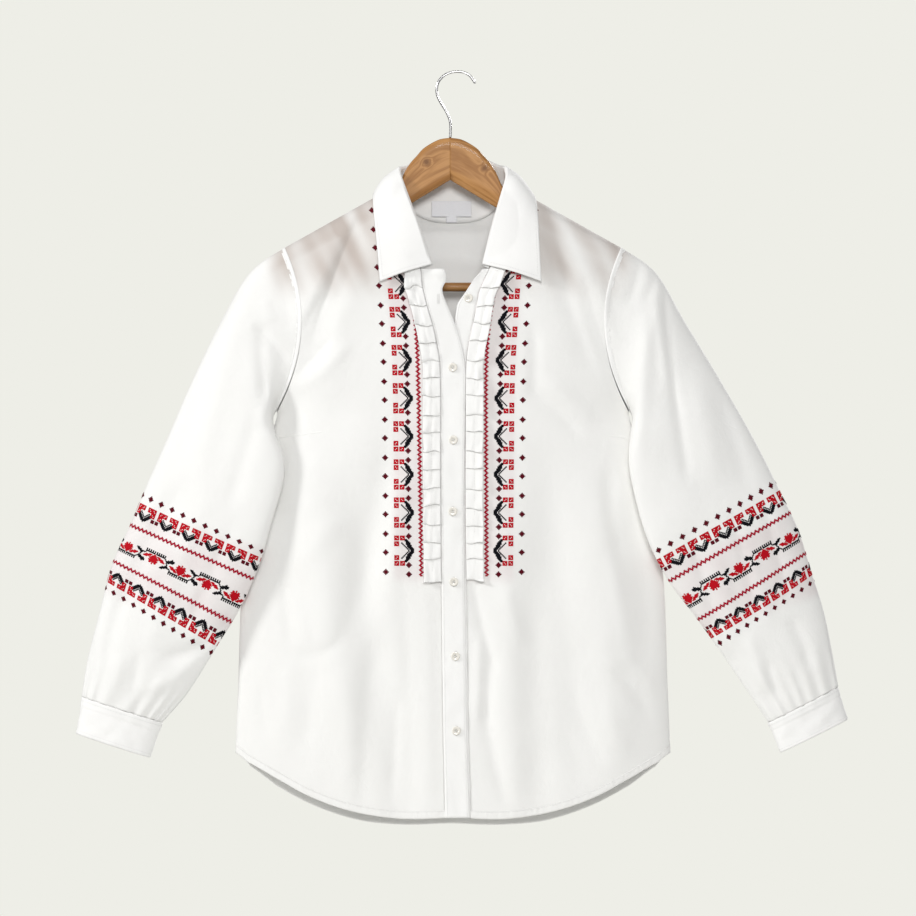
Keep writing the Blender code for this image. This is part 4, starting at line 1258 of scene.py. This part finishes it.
def clear_of_body(place, side, lift):
    """Move a point out until it lies lift away from the body's front or back."""
    if place.z > shoulder_z(place.x) + lift:
        return place
    face, sign = ("front", -1) if place.y < 0 else ("back", 1)
    reach = abs(body_y(face, side * place.x, min(place.z, shoulder_z(place.x)))) + lift
    place.y = sign * max(abs(place.y), reach)
    return place


def collar_line(side, line, t):
    place = Vector([along(COLLAR[f"{line}_{axis}"], t) for axis in "xyz"])
    if side == LEFT:
        toward_front = max((t - SHOULDER_STATION) / (COLLAR_STATIONS - SHOULDER_STATION), 0.0)
        place.x += LEAF_SPREAD[line] * toward_front
    return place


def collar_point(u, v):
    """Collar from the neck seam up the stand, over the roll and down the leaf."""
    side = -1 if u < 0.5 else 1
    t = abs(u - 0.5) * 2 * COLLAR_STATIONS
    fold, edge, seam = collar_line(side, "fold", t), collar_line(side, "edge", t), neck_seam(side, t)
    ahead, before = min(t + 0.2, COLLAR_STATIONS), max(t - 0.2, 0.0)
    run = collar_line(side, "fold", ahead) - collar_line(side, "fold", before)
    away = (fold - seam).normalized() + (fold - edge).normalized()
    out = away.cross(run).normalized()
    away.normalize()
    inner, outer = fold - out * COLLAR_ROLL, fold + out * COLLAR_ROLL
    seam += (inner - seam).normalized() * COLLAR_SEAM
    if v <= STAND_SHARE:
        w = v / STAND_SHARE
        here = seam.lerp(inner, w)
        crumple = wobble(side * here.x * 55.0, here.z * 75.0, 6.0)
        here -= out * 0.0016 * crumple * math.sin(math.pi * w)
    elif v < ROLL_SHARE:
        turn = math.pi * (v - STAND_SHARE) / (ROLL_SHARE - STAND_SHARE)
        here = fold + COLLAR_ROLL * (away * math.sin(turn) - out * math.cos(turn))
    else:
        w = (v - ROLL_SHARE) / (1.0 - ROLL_SHARE)
        middle = math.sin(math.pi * w)
        here = outer.lerp(edge, w) + (out + away * 0.4) * 0.004 * middle
        here += out * 0.0012 * wobble(side * here.x * 30.0, here.z * 30.0, 2.0) * middle
        here = clear_of_body(here, side, COLLAR_LIFT + 0.002 * middle)
    return Vector((side * here.x, here.y, here.z))


collar = cloth("turned_collar", (160, 60), collar_point, (0.44, 0.115), thick=0.0010, look=DOUBLED)
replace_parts(collar, "collar")


# The neck label and its size tab: plain woven satin, left bare, sewn to the inside of
# the collar behind the neck.  The tab is one short ribbon folded double.
LABEL_WIDTH, LABEL_TOP, LABEL_LOW, LABEL_X = 0.0460, -0.1459, -0.1640, -0.0017
TAB_WIDTH, TAB_LOW = 0.0120, -0.1708


def satin(name, face, shade):
    """Woven satin ribbon with fine ribs."""
    look, tree, shader = principled(name)
    place = add_node(tree, "ShaderNodeTexCoord")
    split = add_node(tree, "ShaderNodeSeparateXYZ", {0: place.outputs["UV"]})
    ribs = maths(tree, "SINE", maths(tree, "MULTIPLY", split.outputs[1], 9000.0))
    fleck = noisy(tree, place.outputs["UV"], 900.0)
    dress(tree, shader, blend(tree, fleck, face, shade), spread(tree, fleck, 0.42, 0.58),
          bump(tree, 0.4, 0.00008, ribs))
    return look


SATIN = satin("label_satin", (0.84, 0.845, 0.87), (0.76, 0.765, 0.79))


def stand_y(x, z):
    """Inner face of the collar's stand behind the neck, at a point of the front view."""
    low, high = 0.0, 4.0
    for _ in range(20):
        t = 0.5 * (low + high)
        here = collar_point(0.5 + math.copysign(0.5, x) * t / COLLAR_STATIONS, 0.5 * STAND_SHARE)
        low, high = (t, high) if abs(here.x) < abs(x) else (low, t)
    u = 0.5 + math.copysign(0.5, x) * low / COLLAR_STATIONS
    spots = [collar_point(u, STAND_SHARE * w) for w in (0.0, 0.25, 0.5, 0.75, 1.0)]
    share = (z - spots[0].z) / (spots[-1].z - spots[0].z)
    return along([spot.y for spot in spots], 4.0 * min(max(share, 0.0), 1.0))


def label_point(u, v):
    x, z = LABEL_X + LABEL_WIDTH * (u - 0.5), mix(LABEL_TOP, LABEL_LOW, v)
    return Vector((x, stand_y(x, z) - 0.0014 - 0.0003 * math.sin(9.0 * u) * v, z))


def tab_point(u, v):
    down = 1.0 - abs(2.0 * v - 1.0)
    x, z = LABEL_X + TAB_WIDTH * (u - 0.5), mix(LABEL_LOW + 0.0012, TAB_LOW, down)
    return Vector((x, stand_y(x, z) - 0.0013 + 0.0009 * ease((v - 0.42) / 0.16), z))


label = cloth("neck_label_ribbon", (60, 24), label_point, (LABEL_WIDTH, 0.018), thick=STRIP,
              look=SATIN)
tab = cloth("size_tab_ribbon", (16, 30), tab_point, (TAB_WIDTH, 0.014), thick=HEM_PLY,
            look=SATIN)
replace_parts(label, "neck_label")
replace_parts(tab, "size_tab")


# The buttons: small four-hole shirt buttons turned from shell, with a rim and a dished
# face, seven down the front and one at the back of each cuff, sewn on with white thread.
BUTTON_THICK = 0.0020
HOLE_RADIUS, HOLE_SPREAD = 0.00062, 0.0011
BUTTON_FACE = 0.00050
BUTTONS = [(0.0178, -0.2597), (0.0000, -0.3390), (0.0006, -0.4218), (0.0000, -0.5035),
           (0.0011, -0.5840), (0.0029, -0.6691), (0.0040, -0.7542)]
# Half section of a button from its axis out: radius, and height over its middle plane.
BUTTON_SECTION = [(0.0, 0.00055), (0.0024, 0.00055), (0.0030, 0.00072), (0.0036, 0.00098),
                  (0.0043, 0.00100), (0.0048, 0.00075), (0.0050, 0.00020), (0.0048, -0.00060),
                  (0.0040, -0.00100), (0.0, -0.00100)]
BUTTON_THREADS = []


def shell_look():
    look, tree, shader = principled("turned_shell")
    place = add_node(tree, "ShaderNodeTexCoord")
    bands = noisy(tree, place.outputs["Object"], 260.0, 3.0, Distortion=2.5)
    dress(tree, shader, blend(tree, bands, (0.86, 0.83, 0.76), (0.70, 0.67, 0.60)),
          spread(tree, bands, 0.22, 0.38), bump(tree, 0.25, 0.0001, bands))
    shader.inputs["Coat Weight"].default_value = 0.3
    return look


SHELL_LOOK = shell_look()


def button(name, node, place, scale, facing, turn):
    """A button with four drilled holes, its face along -Y or +Y, and its threads."""
    mesh = bmesh.new()
    profile = [mesh.verts.new((radius * scale, 0.0, height)) for radius, height in BUTTON_SECTION]
    edges = [mesh.edges.new(pair) for pair in zip(profile, profile[1:])]
    bmesh.ops.spin(mesh, geom=profile + edges, axis=(0, 0, 1), cent=(0, 0, 0), dvec=(0, 0, 0),
                   angle=2.0 * math.pi, steps=40, use_merge=True)
    bmesh.ops.remove_doubles(mesh, verts=mesh.verts, dist=0.000001)
    bmesh.ops.recalc_face_normals(mesh, faces=mesh.faces)
    body = bpy.data.objects.new(name + "_blank", bpy.data.meshes.new(name + "_blank"))
    mesh.to_mesh(body.data)
    mesh.free()
    angles = [turn + 0.25 * math.pi + 0.5 * math.pi * i for i in range(4)]
    spots = [(HOLE_SPREAD * math.cos(angle), HOLE_SPREAD * math.sin(angle)) for angle in angles]
    drills = bmesh.new()
    for x, z in spots:
        made = bmesh.ops.create_cone(drills, cap_ends=True, segments=10, radius1=HOLE_RADIUS,
                                     radius2=HOLE_RADIUS, depth=0.006)
        bmesh.ops.translate(drills, verts=made["verts"], vec=(x, z, 0.0))
    cutter = bpy.data.objects.new(name + "_drills", bpy.data.meshes.new(name + "_drills"))
    drills.to_mesh(cutter.data)
    drills.free()
    scene.collection.objects.link(body)
    scene.collection.objects.link(cutter)
    cut = body.modifiers.new("holes", "BOOLEAN")
    cut.operation = "DIFFERENCE"
    cut.object = cutter
    drilled = bpy.data.meshes.new_from_object(body.evaluated_get(bpy.context.evaluated_depsgraph_get()))
    mesh = bmesh.new()
    mesh.from_mesh(drilled)
    for spare in (body, cutter):
        bpy.data.objects.remove(spare)
    for vert in mesh.verts:
        across, up, out = vert.co
        vert.co = Vector((across, facing * out, up)) + place
    if facing > 0:
        bmesh.ops.reverse_faces(mesh, faces=mesh.faces)
    holes = [place + Vector((x, facing * BUTTON_FACE, z)) for x, z in spots]
    for first, last in ((0, 1), (2, 3)):
        BUTTON_THREADS.append((holes[first], holes[last], Vector((0.0, facing, 0.0)), 0.0008, 0.0005, 0))
    piece = finish_mesh(mesh, name, [SHELL_LOOK])
    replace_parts(piece, node)


for number, (x, z) in enumerate(BUTTONS, 1):
    seat = 0.0004 if number == 1 else CLOTH + 0.0008
    place = Vector((x, body_y("front", x, z) - seat - BUTTON_THICK / 2, z))
    button(f"front_button_{number}", f"button_{number}", place, 1.0, -1, 0.35 * number)
for label, side in SIDES:
    place = cuff_point(side, 1.52 * math.pi, 0.5) + Vector((0.0, 0.0030, 0.0))
    button(f"cuff_button_{label}_turned", f"cuff_button_{label}", place, 0.96, 1, 0.5)


# The white sewing: running stitches along the collar, cuffs, button bands, frills,
# armholes and hems, the worked buttonholes of the upper band and the threads that hold
# the buttons, all in matt white cotton thread.
STITCH_PITCH, STITCH_LENGTH = 0.0032, 0.0024
STITCH_WIDTH, STITCH_RISE = 0.00050, 0.00028
WHITE_THREAD = thread_look("white_thread", (0.90, 0.895, 0.88), (0.70, 0.69, 0.67), 0.65)


def running_stitches(point, outward, start, end):
    """Stitches along a line of a cloth's map, from start to end as (u, v)."""
    steps, near = 1400, 0.0008
    spots = [(mix(start[0], end[0], i / steps), mix(start[1], end[1], i / steps))
             for i in range(steps + 1)]
    places = [point(*spot) for spot in spots]
    bars, reached, begun = [], 0.0, 0
    for i in range(1, steps + 1):
        before = reached % STITCH_PITCH
        reached += (places[i] - places[i - 1]).length
        if reached % STITCH_PITCH < before:
            begun = i
        elif before < STITCH_LENGTH <= reached % STITCH_PITCH:
            u, v = spots[(begun + i) // 2]
            along_u = point(u + near, v) - point(u - near, v)
            along_v = point(u, v + near) - point(u, v - near)
            normal = along_u.cross(along_v).normalized() * outward
            bars.append((places[begun] + normal * FLOSS_SEAT, places[i] + normal * FLOSS_SEAT, normal,
                         STITCH_WIDTH, STITCH_RISE, 0))
    return bars


def worked_buttonhole(x, z, length=0.0112, reach=0.0015, pitch=0.0007):
    """Close stitches round a slit, its length down the band."""
    bars, half = [], 0.5 * length
    count = round(length / pitch)
    ahead = Vector((0.0, -1.0, 0.0))
    for i in range(count + 1):
        for way in (-1, 1):
            down = z + half - length * i / count
            wide = reach * (0.72 if i in (0, count) else 1.0)
            ends = [Vector((across, band_y(RIGHT, across, down, BAND_LIFT) - FLOSS_SEAT, down))
                    for across in (x + way * 0.00015, x + way * wide)]
            bars.append((*ends, ahead, pitch, 0.00035, 0))
    return bars


def frill_line(side):
    """Stitches down the middle of a frill, over its pleats."""
    bars, z = [], RUFFLE_TOP - 0.004
    while z > RUFFLE_END + STITCH_PITCH:
        ends = []
        for height in (z, z - STITCH_LENGTH):
            x = at(PLACKETS[side], height, "seam") + side * (SEAM_STEP + 0.5 * RUFFLE_WIDTH)
            ends.append(Vector((x, body_y("front", x, height) - RUFFLE_LIFT - 0.0014, height)))
        bars.append((*ends, Vector((0.0, -1.0, 0.0)), STITCH_WIDTH, STITCH_RISE, 0))
        z -= STITCH_PITCH
    return bars


HEM_LINE = ((0.005, 0.05), (0.995, 0.05))
NECK_BUTTONHOLE = (-0.0167, -0.2608)
seams = {"collar": [], "back": running_stitches(hem_fold(back_point), 1, *HEM_LINE)}
leaf_edge, leaf_end, leaf_roll = 0.966, 0.012, 0.44
for start, end in (((leaf_end, leaf_edge), (1 - leaf_end, leaf_edge)),
                   ((leaf_end, leaf_roll), (leaf_end, leaf_edge)),
                   ((1 - leaf_end, leaf_roll), (1 - leaf_end, leaf_edge))):
    seams["collar"] += running_stitches(collar_point, 1, start, end)
for label, side in SIDES:
    lift = BAND_LIFT if side == RIGHT else 0.0
    front, sleeve = running_stitches(hem_fold(front_point(side)), -side, *HEM_LINE), []
    for edge in (0.10, 0.90):
        front += running_stitches(placket_point(side, lift), side, (edge, 0.0), (edge, 1.0))
        sleeve += running_stitches(lapped_cuff(side), side, (0.01, edge), (0.99, edge))
    front += frill_line(side)
    sleeve += running_stitches(seam_allowance(side), side, (0.001, 0.8), (0.999, 0.8))
    seams["front_" + label], seams["sleeve_" + label] = front, sleeve
for number, (x, z) in enumerate(BUTTONS):
    seams["front_right"] += worked_buttonhole(*((x, z) if number else NECK_BUTTONHOLE))
for part, bars in seams.items():
    stitched(f"white_stitching_{part}", bars, [WHITE_THREAD])
stitched("button_threads", BUTTON_THREADS, [WHITE_THREAD])


# The hanger's wood: two bent arms of beech mitred in the middle and a round bar between
# their ends, planed smooth, bevelled along the lower front edge and varnished clear.
ARM = table(
    "x top low bevel",
    (0.0000, -0.0745, -0.1228, 0.010),
    (0.0138, -0.0768, -0.1311, 0.011),
    (0.0299, -0.0860, -0.1407, 0.012),
    (0.0385, -0.0952, -0.1459, 0.013),
    (0.0466, -0.1044, -0.1508, 0.014),
    (0.0530, -0.1150, -0.1546, 0.015),
    (0.0600, -0.1300, -0.1588, 0.015),
    (0.0700, -0.1385, -0.1650, 0.013),
    (0.1000, -0.1537, -0.1820, 0.010),
    (0.1500, -0.1807, -0.2120, 0.008),
    (0.1860, -0.2012, -0.2330, 0.006),
    (0.1910, -0.2042, -0.2520, 0.006),
    (0.2100, -0.2190, -0.2520, 0.006),
    (0.2180, -0.2290, -0.2480, 0.005),
)
ARM_HALF_DEPTH = 0.0062
BAR_Z, BAR_RADIUS, BAR_HALF = -0.2460, 0.0052, 0.1881
KNOTS = [(-0.0355, -0.1026), (0.0312, -0.1095)]


def wood_grain_group():
    """Long uneven grain along a map whose second axis follows the wood."""
    group, given, result = new_group(
        "wood_grain",
        [("Map", "NodeSocketVector", (0.0, 0.0, 0.0)), ("Knots", "NodeSocketFloat", 0.0)],
        [("Grain", "NodeSocketFloat"), ("Pores", "NodeSocketFloat")])
    stretched = add_node(group, "ShaderNodeMapping", {
        "Vector": given.outputs["Map"],
        "Scale": (90.0, 9.0, 1.0)})
    rings = noisy(group, stretched.outputs[0], 1.0, 3.0, Distortion=0.6)
    streaks = maths(group, "ADD", maths(group, "MULTIPLY", rings, 24.0),
                    maths(group, "MULTIPLY", given.outputs["Knots"], 9.0))
    grain = maths(group, "ADD", maths(group, "MULTIPLY", maths(group, "SINE", streaks), 0.5), 0.5)
    fine = add_node(group, "ShaderNodeMapping", {
        "Vector": given.outputs["Map"],
        "Scale": (1400.0, 60.0, 1.0)})
    group.links.new(grain, result.inputs["Grain"])
    group.links.new(noisy(group, fine.outputs[0], 1.0), result.inputs["Pores"])
    return group


WOOD_GRAIN = wood_grain_group()


def varnished_wood(name, light, dark):
    look, tree, shader = principled(name)
    place = add_node(tree, "ShaderNodeTexCoord")
    knot = 0.0
    for x, z in KNOTS:
        far = add_node(tree, "ShaderNodeVectorMath", {0: place.outputs["Object"], 1: (x, -ARM_HALF_DEPTH, z)},
                       operation="DISTANCE")
        near = add_node(tree, "ShaderNodeMapRange", {
            0: far.outputs["Value"], 1: 0.0, 2: 0.011, 3: 1.0, 4: 0.0})
        near.interpolation_type = "SMOOTHERSTEP"
        knot = maths(tree, "MAXIMUM", near.outputs[0], knot)
    grain = add_node(tree, "ShaderNodeGroup", node_tree=WOOD_GRAIN)
    tree.links.new(place.outputs["UV"], grain.inputs["Map"])
    tree.links.new(knot, grain.inputs["Knots"])
    streaked = spread(tree, grain.outputs["Grain"], 0.15, 0.62)
    flecked = maths(tree, "ADD", streaked, maths(tree, "MULTIPLY", grain.outputs["Pores"], 0.35))
    core = maths(tree, "MULTIPLY", maths(tree, "POWER", knot, 3.0), 0.9)
    colour = blend(tree, core, blend(tree, flecked, light, dark), (0.16, 0.065, 0.02))
    dress(tree, shader, colour, spread(tree, grain.outputs["Pores"], 0.34, 0.52),
          bump(tree, 0.25, 0.0002, grain.outputs["Pores"]))
    shader.inputs["Coat Weight"].default_value = 0.10
    shader.inputs["Specular IOR Level"].default_value = 0.25
    return look


BEECH = varnished_wood("varnished_beech_wood", (0.57, 0.30, 0.112), (0.27, 0.112, 0.028))


def close_ends(mesh):
    """Close the open rims of a tube."""
    rims = [edge for edge in mesh.edges if edge.is_boundary]
    bmesh.ops.holes_fill(mesh, edges=rims, sides=0)
    bmesh.ops.recalc_face_normals(mesh, faces=mesh.faces)


def hanger_arm(name, side):
    """Rounded sections along an arm, closed at the mitre and at the end."""
    ring, stations = 40, len(ARM["x"]) - 1
    mesh = bmesh.new()
    bmesh.ops.create_grid(mesh, x_segments=ring, y_segments=8 * stations, size=0.5)
    grain_map = mesh.loops.layers.uv.new("grain")
    for face in mesh.faces:
        for loop in face.loops:
            run = along(ARM["x"], (loop.vert.co.y + 0.5) * stations)
            loop[grain_map].uv = ((loop.vert.co.x + 0.5) * 0.11 + side, run * 1.15)
    for vert in mesh.verts:
        turn = 2.0 * math.pi * (round((vert.co.x + 0.5) * ring) % ring) / ring
        t = (vert.co.y + 0.5) * stations
        row = {label: along(values, t) for label, values in ARM.items()}
        wide = math.copysign(min(abs(math.sin(turn)) * 1.45, 1.0) ** 0.8, math.sin(turn))
        tall = math.copysign(min(abs(math.cos(turn)) * 1.06, 1.0), math.cos(turn))
        z = mix(row["low"], row["top"], 0.5 + 0.5 * tall)
        y = ARM_HALF_DEPTH * wide
        if side == LEFT and y < 0 and tall < 0:
            y *= 1.0 - 0.45 * max(row["low"] + row["bevel"] - z, 0.0) / row["bevel"]
        vert.co = (side * row["x"], y, z)
    bmesh.ops.remove_doubles(mesh, verts=mesh.verts, dist=WELD)
    close_ends(mesh)
    return finish_mesh(mesh, name, [BEECH], HANGER_X)


def hanger_bar():
    mesh = bmesh.new()
    bmesh.ops.create_circle(mesh, segments=32, radius=BAR_RADIUS)
    rim = mesh.edges[:]
    grown = bmesh.ops.extrude_edge_only(mesh, edges=rim)
    far_side = [item for item in grown["geom"] if isinstance(item, bmesh.types.BMVert)]
    bmesh.ops.translate(mesh, verts=far_side, vec=(0.0, 0.0, 1.0))
    grain_map = mesh.loops.layers.uv.new("grain")
    for vert in mesh.verts:
        far = -1.0 if vert.co.z < 0.5 else 1.0
        vert.co = (far * BAR_HALF, vert.co.x, BAR_Z + vert.co.y)
    for face in mesh.faces:
        for loop in face.loops:
            angle = math.atan2(loop.vert.co.y, loop.vert.co.z - BAR_Z)
            loop[grain_map].uv = (BAR_RADIUS * angle + 3.0, loop.vert.co.x)
    close_ends(mesh)
    return finish_mesh(mesh, "wooden_bar", [BEECH], HANGER_X)


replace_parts(hanger_arm("wooden_arm_right", RIGHT), "hanger_arm_right")
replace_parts(hanger_arm("wooden_arm_left", LEFT), "hanger_arm_left")
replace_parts(hanger_bar(), "hanger_bar")


# The hook: one length of chromed steel wire screwed into the top of the wood and bent
# round to hang on a rail; its inner bend is the origin of the part.
WIRE_RADIUS = 0.0015
HOOK = table(
    "x z",
    (-0.0083, -0.0742),
    (-0.0080, -0.0607),
    (-0.0092, -0.0527),
    (-0.0132, -0.0435),
    (-0.0190, -0.0343),
    (-0.0232, -0.0251),
    (-0.0238, -0.0170),
    (-0.0213, -0.0090),
    (-0.0150, -0.0023),
    (-0.0076, 0.0009),
    (0.0000, 0.0018),
    (0.0080, 0.0007),
    (0.0150, -0.0037),
    (0.0206, -0.0118),
)


def chromed_wire():
    look, tree, shader = principled("chromed_steel_wire")
    place = add_node(tree, "ShaderNodeTexCoord")
    wear = noisy(tree, place.outputs["Object"], 420.0, 4.0)
    dress(tree, shader, blend(tree, wear, (0.62, 0.62, 0.63), (0.46, 0.45, 0.44)),
          spread(tree, wear, 0.12, 0.34), bump(tree, 0.15, 0.0001, wear))
    shader.inputs["Metallic"].default_value = 1.0
    return look


def hook():
    """A round ring carried along the bends, with a rounded free end."""
    sides, steps = 20, 8 * (len(HOOK["x"]) - 1)
    mesh = bmesh.new()
    bmesh.ops.create_grid(mesh, x_segments=sides, y_segments=steps, size=0.5)
    for vert in mesh.verts:
        turn = 2.0 * math.pi * (round((vert.co.x + 0.5) * sides) % sides) / sides
        t = (vert.co.y + 0.5) * (len(HOOK["x"]) - 1)
        here = Vector((along(HOOK["x"], t), 0.0, along(HOOK["z"], t)))
        ahead = Vector((along(HOOK["x"], t + 0.01), 0.0, along(HOOK["z"], t + 0.01))) - here
        aside = ahead.normalized().cross(Vector((0.0, 1.0, 0.0)))
        end = min((len(HOOK["x"]) - 1 - t) / 0.12, 1.0)
        radius = WIRE_RADIUS * math.sqrt(max(1.0 - (1.0 - end) ** 2, 0.09))
        vert.co = here + radius * (aside * math.cos(turn) + Vector((0.0, math.sin(turn), 0.0)))
    bmesh.ops.remove_doubles(mesh, verts=mesh.verts, dist=0.000001)
    close_ends(mesh)
    return finish_mesh(mesh, "wire_hook", [chromed_wire()], 0.0)


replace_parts(hook(), "hanger_hook")
